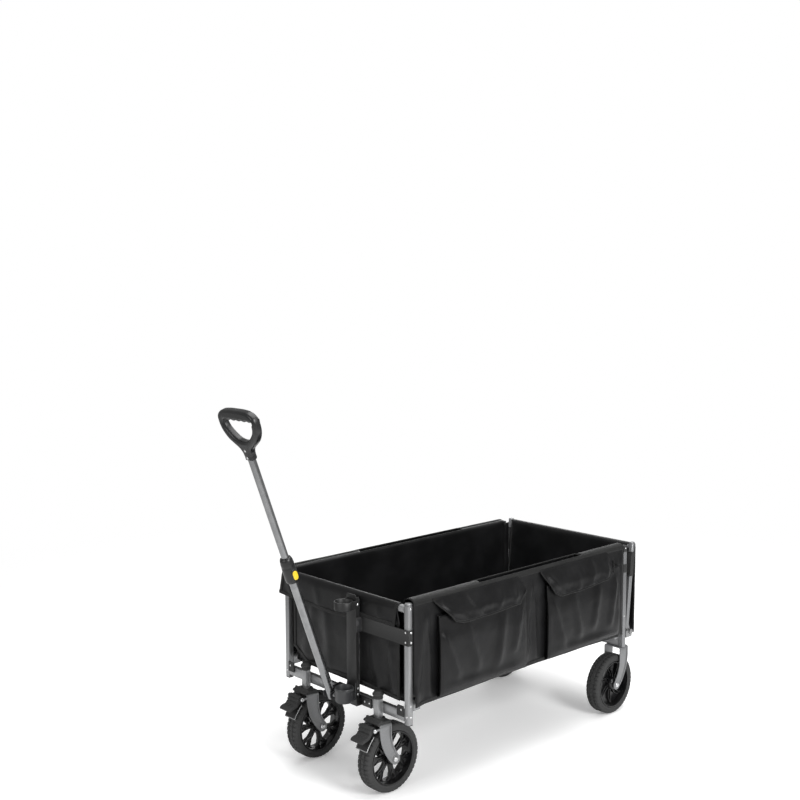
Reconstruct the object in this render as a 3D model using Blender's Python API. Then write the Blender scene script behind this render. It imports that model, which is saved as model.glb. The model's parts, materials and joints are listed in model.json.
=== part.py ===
"""Folding utility wagon: posts on swivel and fixed wheels, a fabric tub, a pull handle and a pole holder.

Units are metres. X runs across the wagon, Y from the pull handle at the front to the tailgate, and Z up.
Every piece is drawn where it stands on the open wagon, and hangs on the empty of the body that carries it.
"""

import math

import bmesh
import bpy
from mathutils import Matrix, Vector

# Clearances
SEAT = 0.0003
RUNNING = 0.0003
FABRIC_SEAT = 0.0003

# Frame
FRAME_WIDTH = 0.500
FRAME_LENGTH = 0.909
POST_SIDE = 0.016
POST_EDGE = 0.0022
POST_PAST_TUBE = 0.0115
POST_CAP = 0.006
CAP_LIP = 0.0002
FRONT_POST_FOOT = 0.206
TOP_TUBE_DIAMETER = 0.020
TOP_TUBE_HEIGHT = 0.4985
CROSS_DEPTH = 0.015
CROSS_HEIGHT = 0.026
CROSS_BOTTOM = 0.213

# Wheels and forks
WHEEL_DIAMETER = 0.180
TYRE_WIDTH = 0.043
RIM_DIAMETER = 0.140
TREAD_DEPTH = 0.0022
TREAD_BLOCKS = 12
HUB_WIDTH = 0.045
HUB_BOSS = 0.033
WEB_THICKNESS = 0.012
SPOKES = 7
AXLE_DIAMETER = 0.010
BOLT_HEAD = 0.015
BOLT_HEAD_THICKNESS = 0.0035
FORK_SIDE_GAP = 0.005
FORK_PLATE = 0.003
FORK_CORNER = 0.006
FORK_TOP_WIDTH = 0.040
FORK_END_WIDTH = 0.028
FORK_ARC_RISE = 0.085
FORK_STAMPING = 0.0006
FORK_STAMPING_BORDER = 0.0045
CASTER_TRAIL = 0.034
CASTER_STEM_INSET = 0.095
CASTER_CROWN_GAP = 0.010
CASTER_POST_SIDE = 0.018
CASTER_POST_HEIGHT = 0.051
CASTER_POST_FOOT = 0.2045
CASTER_CAP_WIDTH = 0.024
CASTER_CAP_HEIGHT = 0.025
STEM_DIAMETER = 0.010
BEARING_DIAMETER = 0.022
REAR_WHEEL_INSET = 0.025
REAR_CROWN_TOP = 0.2025
REAR_CROWN_PAST_POST = 0.0065

# Caster brake
PEDAL_FORWARD = 0.036
PEDAL_HEIGHT = 0.183
PEDAL_PIN = 0.005
PEDAL_WIDTH = 0.044
PEDAL_LUG = 0.0065
SHOE_GAP = 0.0095
SHOE_PLATE = 0.0025

# Folding side arms
ARM_WIDTH = 0.018
ARM_THICKNESS = 0.010
ARM_EDGE = 0.0038
ARM_PIN = 0.006
ARM_RISE = math.radians(27.0)
ARM_PIVOT_HEIGHT = 0.254
ARM_PIVOT_FROM_POST = 0.0145
ARM_SPACING = 0.0013
BRACKET_PLATE = 0.0016
BRACKET_HEIGHT = 0.028

# Tailgate
GATE_TUBE = 0.014
GATE_PIVOT_FROM_POST = 0.0193
GATE_PIVOT_DROP = 0.0073
GATE_PIN = 0.007
GATE_PAST_TUBE = 0.021
GATE_LEAN = math.radians(5.6)
GATE_TUBE_RISE = 0.0108
GATE_FOOT_SETBACK = 0.0095
GATE_TOP_TUBE = 0.018
GATE_SLEEVE = (0.417, 0.490)
POST_COLLAR = (0.434, 0.459)
COLLAR_WALL = 0.0011
KNOB_DIAMETER = 0.016

# Pull handle
HANDLE_PIVOT_FORWARD = 0.0425
HANDLE_PIVOT_HEIGHT = 0.2345
HANDLE_LEAN = math.radians(20.4)
HANDLE_PIN = 0.008
LOWER_TUBE = 0.023
TUBE_WALL = 0.0015
LOWER_TUBE_TAIL = 0.012
COLLAR_START = 0.342
COLLAR_LENGTH = 0.070
COLLAR_DIAMETER = 0.036
COLLAR_SOCKET = 0.023
UPPER_TUBE_TUCKED = 0.070
GRIP_START = 0.686
GRIP_SOCKET = 0.016
GRIP_WIDTH = 0.160
GRIP_HEIGHT = 0.136
GRIP_THICKNESS = 0.026
GRIP_BAR = 0.026
GRIP_NECK = 0.030
FINGER_RIDGES = 5
FINGER_RIDGE_DEPTH = 0.0022
BUTTON_LENGTH = 0.024
BUTTON_WIDTH = 0.014
BUTTON_TRAVEL = 0.003
BUTTON_PROUD = 0.0035
BUTTON_AT = 0.364

# Pole holder
POLE_X = 0.057
POLE_FORWARD = 0.045
RING_OUTER = 0.050
RING_INNER = 0.044
RING_HEIGHT = 0.021
RING_BELOW_TUBE = 0.0055
CUP_HEIGHT = 0.039
CUP_LIFT = 0.014
CUP_FLOOR = 0.004
COLUMN_WIDTH = 0.038
COLUMN_DEPTH = 0.010
COLUMN_PLATE = 0.002
COLUMN_LIFT = 0.012
COLUMN_PAST_TUBE = 0.0085
STRAP_HEIGHT = 0.039
STRAP_BELOW_TUBE = 0.0495
STRAP_PLATE = 0.0025

# Fabric tub
FABRIC = 0.0020
HEM_PAST_TUBE = 0.026
TUB_FLOOR = 0.252
TUB_FLOOR_THICKNESS = 0.003
MAT_THICKNESS = 0.0087
MAT_CREASE = 0.003
TUB_FRONT_SETBACK = 0.0045
TUB_REAR_SETBACK = 0.0165
LINER_GAP = 0.0067
TUB_SIDE_FOOT = 0.250
FRONT_PANEL_FOOT = 0.2625
FRONT_PANEL_INSET = 0.0193
HEM_SLOT = (-0.160, 0.200)
HEM_SLOT_DROP = 0.010
FRONT_PANEL_GAP = 0.0021
FRONT_FLAP_DEPTH = 0.0033
POCKET_DEPTH = 0.018
POCKET_FOOT = 0.262
POCKET_DROP = 0.0545
POCKET_SPANS = ((-0.357, -0.035), (0.044, 0.375))
POCKET_ROUND = 0.006
FLAP_DEPTH = 0.022
FLAP_ROUND = 0.003
# Each flap's outline, as places along the wagon and drops from the hem
FRONT_FLAP = (
    (-0.376, 0.0105),
    (-0.314, 0.0755),
    (-0.284, 0.0845),
    (-0.181, 0.0845),
    (-0.062, 0.0785),
    (-0.027, 0.0535),
    (-0.052, 0.0085),
)
REAR_FLAP = (
    (0.041, 0.0175),
    (0.0815, 0.0795),
    (0.108, 0.0925),
    (0.200, 0.0935),
    (0.316, 0.0855),
    (0.366, 0.0745),
    (0.370, 0.0390),
    (0.345, 0.0105),
)
VALANCE_OVERHANG = 0.0165

# Places that follow from the sizes above
POST_X = FRAME_WIDTH / 2 - POST_SIDE / 2
FRONT_Y = -FRAME_LENGTH / 2 + POST_SIDE / 2
REAR_Y = -FRONT_Y
POST_INNER = POST_X - POST_SIDE / 2
POST_TOP = TOP_TUBE_HEIGHT + POST_PAST_TUBE
FRONT_FACE = FRONT_Y - POST_SIDE / 2
WHEEL_RADIUS = WHEEL_DIAMETER / 2
CASTER_STEM_X = POST_X - CASTER_STEM_INSET
REAR_WHEEL_X = POST_X - REAR_WHEEL_INSET
REAR_CROWN_Y = REAR_Y + REAR_CROWN_PAST_POST
CROSS_FRONT = FRONT_FACE + 0.0005
STEM_Y = CROSS_FRONT - SEAT - CASTER_POST_SIDE / 2
FRONT_AXLE_Y = STEM_Y + CASTER_TRAIL
REAR_AXLE_Y = REAR_CROWN_Y - CASTER_TRAIL
FORK_INNER = TYRE_WIDTH / 2 + FORK_SIDE_GAP
FORK_OUTER = FORK_INNER + FORK_PLATE
CASTER_CROWN_TOP = WHEEL_DIAMETER + CASTER_CROWN_GAP + FORK_PLATE
PEDAL_PIVOT = (STEM_Y - PEDAL_FORWARD, PEDAL_HEIGHT)
ARM_FRONT_Y = FRONT_Y + POST_SIDE / 2 + ARM_PIVOT_FROM_POST
ARM_REAR_Y = -ARM_FRONT_Y
ARM_MID_HEIGHT = ARM_PIVOT_HEIGHT + ARM_REAR_Y * math.tan(ARM_RISE)
FRONT_ARM_X = POST_X + 0.0005
REAR_ARM_X = FRONT_ARM_X - ARM_THICKNESS - ARM_SPACING
GATE_PIVOT_HEIGHT = ARM_PIVOT_HEIGHT - GATE_PIVOT_DROP
GATE_TUBE_FOOT = GATE_PIVOT_HEIGHT + GATE_TUBE_RISE
GATE_TOP = TOP_TUBE_HEIGHT + GATE_PAST_TUBE
GATE_PIVOT = (REAR_Y + POST_SIDE / 2 + GATE_PIVOT_FROM_POST, GATE_PIVOT_HEIGHT)
GATE_FOOT_Y = GATE_PIVOT[0] - GATE_FOOT_SETBACK
HANDLE_PIVOT = Vector((0.0, FRONT_FACE - HANDLE_PIVOT_FORWARD, HANDLE_PIVOT_HEIGHT))
HANDLE_WAY = Vector((0.0, -math.sin(HANDLE_LEAN), math.cos(HANDLE_LEAN)))
UPPER_TUBE = LOWER_TUBE - 2 * TUBE_WALL - 2 * RUNNING
LOWER_TUBE_END = COLLAR_START + COLLAR_SOCKET
POLE_Y = FRONT_FACE - POLE_FORWARD
COLUMN_FRONT = POLE_Y + RING_OUTER / 2 + SEAT
COLUMN_BACK = COLUMN_FRONT + COLUMN_DEPTH
COLUMN_BAND = (CROSS_BOTTOM + COLUMN_LIFT, TOP_TUBE_HEIGHT + COLUMN_PAST_TUBE)
RING_BAND = (TOP_TUBE_HEIGHT - RING_BELOW_TUBE - RING_HEIGHT, TOP_TUBE_HEIGHT - RING_BELOW_TUBE)
CUP_BAND = (CROSS_BOTTOM + CUP_LIFT, CROSS_BOTTOM + CUP_LIFT + CUP_HEIGHT)
STRAP_BAND = (TOP_TUBE_HEIGHT - STRAP_BELOW_TUBE - STRAP_HEIGHT, TOP_TUBE_HEIGHT - STRAP_BELOW_TUBE)
TUB_WALL_X = FRAME_WIDTH / 2 + FABRIC_SEAT
TUB_LINER_X = REAR_ARM_X - ARM_THICKNESS / 2 - LINER_GAP
TUB_FRONT = FRONT_Y + TUB_FRONT_SETBACK
TUB_REAR = REAR_Y - TUB_REAR_SETBACK
TUB_TOP = TOP_TUBE_HEIGHT + HEM_PAST_TUBE
FRONT_PANEL_HALF = POST_INNER - FRONT_PANEL_INSET
FLOOR_TOP = TUB_FLOOR + TUB_FLOOR_THICKNESS

SIDES = {"left": -1, "right": 1}


def finish(name, colour, roughness, metallic=0.0):
    """A plain material of one colour."""
    material = bpy.data.materials.new(name)
    material.use_nodes = True
    shader = material.node_tree.nodes["Principled BSDF"]
    shader.inputs["Base Color"].default_value = (*colour, 1.0)
    shader.inputs["Roughness"].default_value = roughness
    shader.inputs["Metallic"].default_value = metallic
    material.diffuse_color = (*colour, 1.0)
    return material


class Body:
    """Pieces that move as one, carried by an empty that stands on their joint."""

    def __init__(self, name, at, parent=None):
        self.at = Vector(at)
        self.empty = bpy.data.objects.new(f"body_{name}", None)
        bpy.context.scene.collection.objects.link(self.empty)
        self.empty.location = self.at
        if parent:
            self.empty.parent = parent.empty
            self.empty.location = self.at - parent.at

    def hang(self, name, mesh):
        """An object with this mesh, its origin on the body's joint."""
        piece = bpy.data.objects.new(name, mesh)
        bpy.context.scene.collection.objects.link(piece)
        piece.parent = self.empty
        return piece

    def mesh_of(self, name, shape):
        """The shape as a mesh measured from the body's joint."""
        bmesh.ops.translate(shape, vec=-self.at, verts=shape.verts)
        bmesh.ops.recalc_face_normals(shape, faces=shape.faces)
        mesh = bpy.data.meshes.new(name)
        shape.to_mesh(mesh)
        shape.free()
        return mesh

    def add(self, name, shape, material):
        """A piece of this body."""
        mesh = self.mesh_of(name, shape)
        mesh.materials.append(material)
        mesh.shade_smooth()
        mesh.set_sharp_from_angle(angle=math.radians(32))
        return self.hang(name, mesh)

    def change(self, piece, shape, operation):
        """Joins a shape to a piece, cuts it out, or keeps what they share."""
        helper_name = f"{piece.name}_{operation.lower()}_{len(piece.modifiers)}"
        helper = self.hang(helper_name, self.mesh_of(helper_name, shape))
        helper.hide_render = True
        helper.display_type = "WIRE"
        boolean = piece.modifiers.new(helper_name, "BOOLEAN")
        boolean.operation = operation
        boolean.object = helper

    def join(self, piece, shape):
        """Fuses a shape to a piece."""
        self.change(piece, shape, "UNION")

    def cut(self, piece, shape):
        """Takes a shape out of a piece."""
        self.change(piece, shape, "DIFFERENCE")


AXIS_PLACES = {
    "X": lambda a, b, height: (height, a, b),
    "Y": lambda a, b, height: (a, height, b),
    "Z": lambda a, b, height: (a, b, height),
}


def prism(outline, axis, low, high, holes=()):
    """A closed outline drawn out straight along an axis, with any holes right through it."""
    shape = bmesh.new()
    place = AXIS_PLACES[axis]
    rims = ([], [])
    for loop in (outline, *holes):
        ends = [[shape.verts.new(place(a, b, height)) for a, b in loop] for height in (low, high)]
        for i in range(len(loop)):
            shape.faces.new((ends[0][i - 1], ends[0][i], ends[1][i], ends[1][i - 1]))
            for rim, end in zip(rims, ends):
                rim.append(shape.edges.get((end[i - 1], end[i])))
    for rim in rims:
        if holes:
            bmesh.ops.triangle_fill(shape, use_beauty=True, use_dissolve=False, edges=rim)
        else:
            bmesh.ops.contextual_create(shape, geom=rim)
    return shape


def soften(shape, width, steps=1, along=None):
    """Rounds the sharp edges, or only those that run along an axis."""
    direction = {"X": Vector((1, 0, 0)), "Y": Vector((0, 1, 0)), "Z": Vector((0, 0, 1))}.get(along)
    shape.normal_update()
    bmesh.ops.recalc_face_normals(shape, faces=shape.faces)
    chosen = []
    for edge in shape.edges:
        if edge.calc_face_angle(0.0) < math.radians(30):
            continue
        run = (edge.verts[1].co - edge.verts[0].co).normalized()
        if direction is None or abs(run.dot(direction)) > 0.999:
            chosen.append(edge)
    bmesh.ops.bevel(
        shape, geom=chosen, offset=width, segments=steps, profile=0.5, affect="EDGES", clamp_overlap=True
    )
    return shape


def block(x, y, z, edge=0.0, steps=1, along=None):
    """A box between pairs of limits, its edges rounded where a width is given."""
    shape = prism([(x[0], y[0]), (x[1], y[0]), (x[1], y[1]), (x[0], y[1])], "Z", *z)
    return soften(shape, edge, steps, along) if edge else shape


def turned(profile, steps, axis, centre):
    """A closed profile of (radius, height) points turned about an axis through a centre."""
    shape = bmesh.new()
    corners = [shape.verts.new((radius, 0.0, height)) for radius, height in profile]
    rim = [shape.edges.new((corners[i - 1], corners[i])) for i in range(len(corners))]
    bmesh.ops.spin(
        shape, geom=corners + rim, cent=(0, 0, 0), axis=(0, 0, 1), angle=math.tau, steps=steps, use_merge=True
    )
    bmesh.ops.remove_doubles(shape, verts=shape.verts, dist=1e-6)
    bmesh.ops.dissolve_degenerate(shape, edges=shape.edges, dist=1e-7)
    onto = Vector((0, 0, 1)).rotation_difference(Vector(axis)).to_matrix().to_4x4()
    bmesh.ops.transform(shape, matrix=Matrix.Translation(centre) @ onto, verts=shape.verts)
    return shape


def rod(radius, start, end, steps=12):
    """A round bar between two points."""
    start, end = Vector(start), Vector(end)
    length = (end - start).length
    return turned([(0, 0), (radius, 0), (radius, length), (0, length)], steps, end - start, start)


def pipe(outer, inner, start, end, steps=16):
    """A round tube between two points."""
    start, end = Vector(start), Vector(end)
    length = (end - start).length
    profile = [(inner, 0), (outer, 0), (outer, length), (inner, length)]
    return turned(profile, steps, end - start, start)


def arc(centre, radius, start, end, steps):
    """Points on an arc, from one angle in degrees to another."""
    angles = [math.radians(start + (end - start) * i / steps) for i in range(steps + 1)]
    return [(centre[0] + radius * math.cos(a), centre[1] + radius * math.sin(a)) for a in angles]


def circle(centre, radius, steps=12):
    """Points round a circle."""
    return arc(centre, radius, 0, 360, steps)[:-1]


def smooth_loop(points, steps):
    """A smooth closed curve through a few points."""
    loop = []
    for i in range(len(points)):
        a, b, c, d = (Vector(points[(i + k) % len(points)]) for k in (-1, 0, 1, 2))
        for k in range(steps):
            t = k / steps
            bend = 2 * b + (c - a) * t + (2 * a - 5 * b + 4 * c - d) * t**2 + (3 * b - a - 3 * c + d) * t**3
            loop.append(tuple(bend / 2))
    return loop


def shrunk(loop, amount):
    """A closed outline moved inwards by an amount, point by point."""
    moved = []
    for i in range(len(loop)):
        before, here, after = (Vector(loop[(i + k) % len(loop)]) for k in (-1, 0, 1))
        run = (after - before).normalized()
        moved.append(tuple(here + Vector((-run.y, run.x)) * amount))
    return moved


def between(a, b, share):
    """The value that lies a share of the way from a to b."""
    return a + (b - a) * share


def build_front_frame(root):
    """Posts, top tube and cross tube at the handle end."""
    half = POST_SIDE / 2
    for side, way in SIDES.items():
        x = way * POST_X
        post = root.add(
            f"front_post_{side}",
            block(
                (x - half, x + half),
                (FRONT_Y - half, FRONT_Y + half),
                (FRONT_POST_FOOT, POST_TOP),
                POST_EDGE,
                2,
                "Z",
            ),
            STEEL,
        )
        cap = half + CAP_LIP
        root.join(
            post,
            block(
                (x - cap, x + cap),
                (FRONT_Y - cap, FRONT_Y + cap),
                (POST_TOP - 0.0002, POST_TOP + POST_CAP),
                POST_EDGE,
            ),
        )
    reach = POST_INNER - SEAT
    root.add(
        "front_top_tube",
        rod(TOP_TUBE_DIAMETER / 2, (-reach, FRONT_Y, TOP_TUBE_HEIGHT), (reach, FRONT_Y, TOP_TUBE_HEIGHT)),
        STEEL,
    )
    root.add(
        "front_cross_tube",
        block(
            (-reach, reach),
            (CROSS_FRONT, CROSS_FRONT + CROSS_DEPTH),
            (CROSS_BOTTOM, CROSS_BOTTOM + CROSS_HEIGHT),
            POST_EDGE,
            2,
            "X",
        ),
        STEEL,
    )


def build_caster_posts(root):
    """The sockets that stand on the swivel casters, with their stems and black caps."""
    half = CASTER_POST_SIDE / 2
    top = CASTER_POST_FOOT + CASTER_POST_HEIGHT
    for side, way in SIDES.items():
        x = way * CASTER_STEM_X
        post = root.add(
            f"caster_post_{side}",
            block(
                (x - half, x + half),
                (STEM_Y - half, STEM_Y + half),
                (CASTER_POST_FOOT, top),
                POST_EDGE,
                2,
                "Z",
            ),
            STEEL,
        )
        crown = CASTER_CROWN_TOP
        under = crown - FORK_PLATE - SEAT
        stem = STEM_DIAMETER / 2
        bearing = BEARING_DIAMETER / 2
        head = stem + 0.0025
        profile = [
            (0, CASTER_POST_FOOT + 0.002),
            (bearing - 0.003, CASTER_POST_FOOT + 0.002),
            (bearing - 0.003, CASTER_POST_FOOT - 0.002),
            (bearing, CASTER_POST_FOOT - 0.003),
            (bearing, crown + SEAT),
            (stem, crown + SEAT),
            (stem, under),
            (head, under),
            (head, under - 0.003),
            (0, under - 0.003),
        ]
        root.join(post, turned(profile, 12, (0, 0, 1), (x, STEM_Y, 0)))
        cap = CASTER_CAP_WIDTH / 2
        base = top + SEAT
        cap_profile = [
            (0, base),
            (cap - 0.002, base),
            (cap - 0.002, base + 0.005),
            (cap, base + 0.009),
            (cap, base + 0.015),
            (cap - 0.003, base + 0.018),
            (cap - 0.004, base + CASTER_CAP_HEIGHT),
            (0, base + CASTER_CAP_HEIGHT),
        ]
        root.add(
            f"caster_post_cap_{side}", turned(cap_profile, 8, (0, 0, 1), (x, STEM_Y, 0)), BLACK_PLASTIC
        )


def build_arm_brackets(root):
    """The forks behind the front posts that carry the side arms."""
    post_back = FRONT_Y + POST_SIDE / 2
    web = post_back + SEAT
    tip = ARM_FRONT_Y + 0.010
    inner = FRONT_ARM_X - ARM_THICKNESS / 2 - 0.001
    outer = FRONT_ARM_X + ARM_THICKNESS / 2 + 0.001
    low = ARM_PIVOT_HEIGHT - BRACKET_HEIGHT / 2
    high = ARM_PIVOT_HEIGHT + BRACKET_HEIGHT / 2
    for side, way in SIDES.items():
        plan = [
            (way * (inner - BRACKET_PLATE), web),
            (way * (outer + BRACKET_PLATE), web),
            (way * (outer + BRACKET_PLATE), tip),
            (way * outer, tip),
            (way * outer, web + BRACKET_PLATE),
            (way * inner, web + BRACKET_PLATE),
            (way * inner, tip),
            (way * (inner - BRACKET_PLATE), tip),
        ]
        bracket = root.add(f"arm_bracket_{side}", prism(plan, "Z", low, high), STEEL)
        root.join(
            bracket,
            rod(
                ARM_PIN / 2,
                (way * (inner - BRACKET_PLATE / 2), ARM_FRONT_Y, ARM_PIVOT_HEIGHT),
                (way * (outer + BRACKET_PLATE / 2), ARM_FRONT_Y, ARM_PIVOT_HEIGHT),
                12,
            ),
        )


def arm_shape(x, start, end):
    """A flat oval tube with round ends, between two pivots in a plane across X."""
    run = Vector(end) - Vector(start)
    heading = math.degrees(math.atan2(run.y, run.x))
    outline = arc(end, ARM_WIDTH / 2, heading - 90, heading + 90, 4)
    outline += arc(start, ARM_WIDTH / 2, heading + 90, heading + 270, 4)
    shape = prism(outline, "X", x - ARM_THICKNESS / 2, x + ARM_THICKNESS / 2)
    return soften(shape, ARM_EDGE)


def build_side_arms(front_arms, rear_arms):
    """Two arms a side that meet at a middle joint and rise as the wagon folds."""
    front = (ARM_FRONT_Y, ARM_PIVOT_HEIGHT)
    middle = (0.0, ARM_MID_HEIGHT)
    rear = (ARM_REAR_Y, ARM_PIVOT_HEIGHT)
    hole = ARM_PIN / 2 + RUNNING
    for side, way in SIDES.items():
        front_x, rear_x = way * FRONT_ARM_X, way * REAR_ARM_X
        reach = way * ARM_THICKNESS
        arm = front_arms.add(f"front_arm_{side}", arm_shape(front_x, front, middle), STEEL)
        front_arms.cut(arm, rod(hole, (front_x - reach, *front), (front_x + reach, *front), 12))
        head = rear_x - way * (ARM_THICKNESS / 2 + SEAT)
        front_arms.join(arm, rod(ARM_PIN / 2, (front_x, *middle), (head - way * 0.001, *middle), 12))
        front_arms.join(arm, rod(ARM_PIN, (head, *middle), (head - way * 0.0018, *middle), 12))
        arm = rear_arms.add(f"rear_arm_{side}", arm_shape(rear_x, middle, rear), STEEL)
        for pivot in (middle, rear):
            rear_arms.cut(arm, rod(hole, (rear_x - reach, *pivot), (rear_x + reach, *pivot), 12))


def leg_outline(top, inset=0.0, lug=False):
    """A fork leg from the side, measured from its axle: straight under the crown, then an arc to a round end.

    The first number of a point runs from the axle towards the stem, and the second one up.
    """
    turn = 2 * math.atan2(CASTER_TRAIL, FORK_ARC_RISE)
    radius = FORK_ARC_RISE / math.sin(turn)
    half = FORK_TOP_WIDTH / 2 - inset
    stem_side = [(CASTER_TRAIL + half, top - inset)]
    wheel_side = [(CASTER_TRAIL - half, top - inset)]
    if lug:
        lug_at = (CASTER_TRAIL + PEDAL_FORWARD, PEDAL_HEIGHT - WHEEL_RADIUS)
        crown_under = top - FORK_PLATE - 0.0005
        stem_side += [(CASTER_TRAIL + half, crown_under)]
        stem_side += arc(lug_at, PEDAL_LUG, 90, -80, 4)
    steps = 4
    for step in range(1 if lug else 0, steps + 1):
        share = step / steps
        angle = turn * share
        width = between(FORK_TOP_WIDTH, FORK_END_WIDTH, share) / 2 - inset
        d = CASTER_TRAIL - radius * (1 - math.cos(angle))
        h = FORK_ARC_RISE - radius * math.sin(angle)
        stem_side.append((d + width * math.cos(angle), h - width * math.sin(angle)))
        wheel_side.append((d - width * math.cos(angle), h + width * math.sin(angle)))
    end = -math.degrees(turn)
    tip = arc((0, 0), FORK_END_WIDTH / 2 - inset, end, end - 180, 4)[1:-1]
    return stem_side + tip + wheel_side[::-1]


def add_fork(body, name, x, axle_y, way, top, lug):
    """A stamped fork: one rounded U from the front, trimmed to the legs' outline from the side."""
    low = WHEEL_RADIUS - FORK_END_WIDTH
    outer = arc((FORK_OUTER - FORK_CORNER, top - FORK_CORNER), FORK_CORNER, 0, 90, 2)
    inner_corner = FORK_CORNER - FORK_PLATE
    inner = arc((FORK_INNER - inner_corner, top - FORK_PLATE - inner_corner), inner_corner, 90, 0, 2)
    right = [(FORK_OUTER, low), *outer]
    inside = [*inner, (FORK_INNER, low)]
    loop = right + [(-a, b) for a, b in reversed(right)]
    loop += [(-a, b) for a, b in reversed(inside)] + inside
    loop = [(x + a, b) for a, b in loop]
    reach = CASTER_TRAIL + PEDAL_FORWARD + FORK_TOP_WIDTH
    fork = body.add(name, prism(loop, "Y", axle_y - reach, axle_y + reach), STEEL)

    def side_view(outline):
        return [(axle_y + way * d, WHEEL_RADIUS + h) for d, h in outline]

    wide = FORK_OUTER + 0.005
    legs = side_view(leg_outline(top - WHEEL_RADIUS + 0.001, lug=lug))
    body.change(fork, prism(legs, "X", x - wide, x + wide), "INTERSECT")
    stamped = side_view(leg_outline(top - WHEEL_RADIUS - FORK_CORNER, FORK_STAMPING_BORDER))
    for face in (-1, 1):
        floor = x + face * (FORK_OUTER - FORK_STAMPING)
        body.cut(fork, prism(stamped, "X", *sorted((floor, x + face * wide))))
    hole = AXLE_DIAMETER / 2 + RUNNING
    body.cut(fork, rod(hole, (x - wide, axle_y, WHEEL_RADIUS), (x + wide, axle_y, WHEEL_RADIUS)))
    return fork


def add_axle(body, name, x, axle_y):
    """A bolt through both legs, with a domed head and a nut."""
    shank = AXLE_DIAMETER / 2
    head = BOLT_HEAD / 2
    seat = FORK_OUTER + SEAT
    end = seat + BOLT_HEAD_THICKNESS
    profile = [
        (0, -end),
        (head * 0.7, -end),
        (head, -end + BOLT_HEAD_THICKNESS / 2),
        (head, -seat),
        (shank, -seat),
        (shank, seat),
        (head, seat),
        (head, end - BOLT_HEAD_THICKNESS / 2),
        (head * 0.7, end),
        (0, end),
    ]
    body.add(name, turned(profile, 10, (1, 0, 0), (x, axle_y, WHEEL_RADIUS)), ZINC)


def tyre_mesh():
    """A tyre with a row of blocks along each shoulder, turned block by block about X."""
    half = TYRE_WIDTH / 2
    bore = RIM_DIAMETER / 2 + SEAT
    stations = 3 * TREAD_BLOCKS
    shape = bmesh.new()
    rings = []
    for i in range(stations):
        raised = [(i + shift) % 3 != 0 for shift in (0, 1)]
        drop = [0.0 if up else TREAD_DEPTH for up in raised]
        profile = [
            (bore, -half * 0.90),
            (WHEEL_RADIUS - 0.0065, -half),
            (WHEEL_RADIUS - 0.0008 - drop[0], -half * 0.80),
            (WHEEL_RADIUS - drop[0], -half * 0.22),
            (WHEEL_RADIUS - TREAD_DEPTH, 0.0),
            (WHEEL_RADIUS - drop[1], half * 0.22),
            (WHEEL_RADIUS - 0.0008 - drop[1], half * 0.80),
            (WHEEL_RADIUS - 0.0065, half),
            (bore, half * 0.90),
        ]
        angle = math.tau * (i - 1) / stations - math.pi / 2
        way = (math.cos(angle), math.sin(angle))
        rings.append([shape.verts.new((across, r * way[0], r * way[1])) for r, across in profile])
    count = len(rings[0])
    for i in range(stations):
        for k in range(count):
            shape.faces.new((rings[i - 1][k - 1], rings[i - 1][k], rings[i][k], rings[i][k - 1]))
    return shape


def spoke_windows():
    """The openings between the spokes: a leaning leaf beside each spoke and a small one in its fork."""
    depth = HUB_WIDTH
    shape = bmesh.new()
    place = AXIS_PLACES["X"]
    leaf = [
        (0.024, -0.0015),
        (0.030, 0.0045),
        (0.042, 0.0085),
        (0.056, 0.0075),
        (0.0595, 0.0010),
        (0.053, -0.0045),
        (0.038, -0.0060),
    ]
    fork = [(0.047, 0.0012), (0.0595, 0.0075), (0.0600, -0.0055)]
    for i in range(SPOKES):
        for loop, shift in ((leaf, 0.0), (fork, 0.5)):
            angle = math.tau * (i + shift) / SPOKES
            turn = Matrix.Rotation(angle, 2)
            points = [turn @ Vector(point) for point in loop]
            ends = [[shape.verts.new(place(*p, across)) for p in points] for across in (-depth, depth)]
            for k in range(len(points)):
                shape.faces.new((ends[0][k - 1], ends[0][k], ends[1][k], ends[1][k - 1]))
            for end in ends:
                shape.faces.new(end)
    return shape


def hub_profile():
    """Half the section of a wheel centre: rim, web and boss with its bore."""
    rim = RIM_DIAMETER / 2
    half = TYRE_WIDTH / 2 - 0.003
    web = WEB_THICKNESS / 2
    boss = HUB_BOSS / 2
    bore = AXLE_DIAMETER / 2 + RUNNING
    one_side = [
        (rim, half),
        (rim - 0.004, half),
        (rim - 0.0065, web),
        (boss + 0.006, web),
        (boss, HUB_WIDTH / 2),
        (bore, HUB_WIDTH / 2),
    ]
    return one_side + [(r, -across) for r, across in reversed(one_side)]


def add_wheel(body, name):
    """A tyre and its spoked centre, about the body's joint."""
    centre = body.at
    tyre = tyre_mesh()
    bmesh.ops.translate(tyre, vec=centre, verts=tyre.verts)
    body.add(f"{name}_tyre", tyre, RUBBER)
    hub = body.add(f"{name}_hub", turned(hub_profile(), 3 * SPOKES, (1, 0, 0), centre), BLACK_PLASTIC)
    windows = spoke_windows()
    bmesh.ops.translate(windows, vec=centre, verts=windows.verts)
    body.cut(hub, windows)


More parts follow.
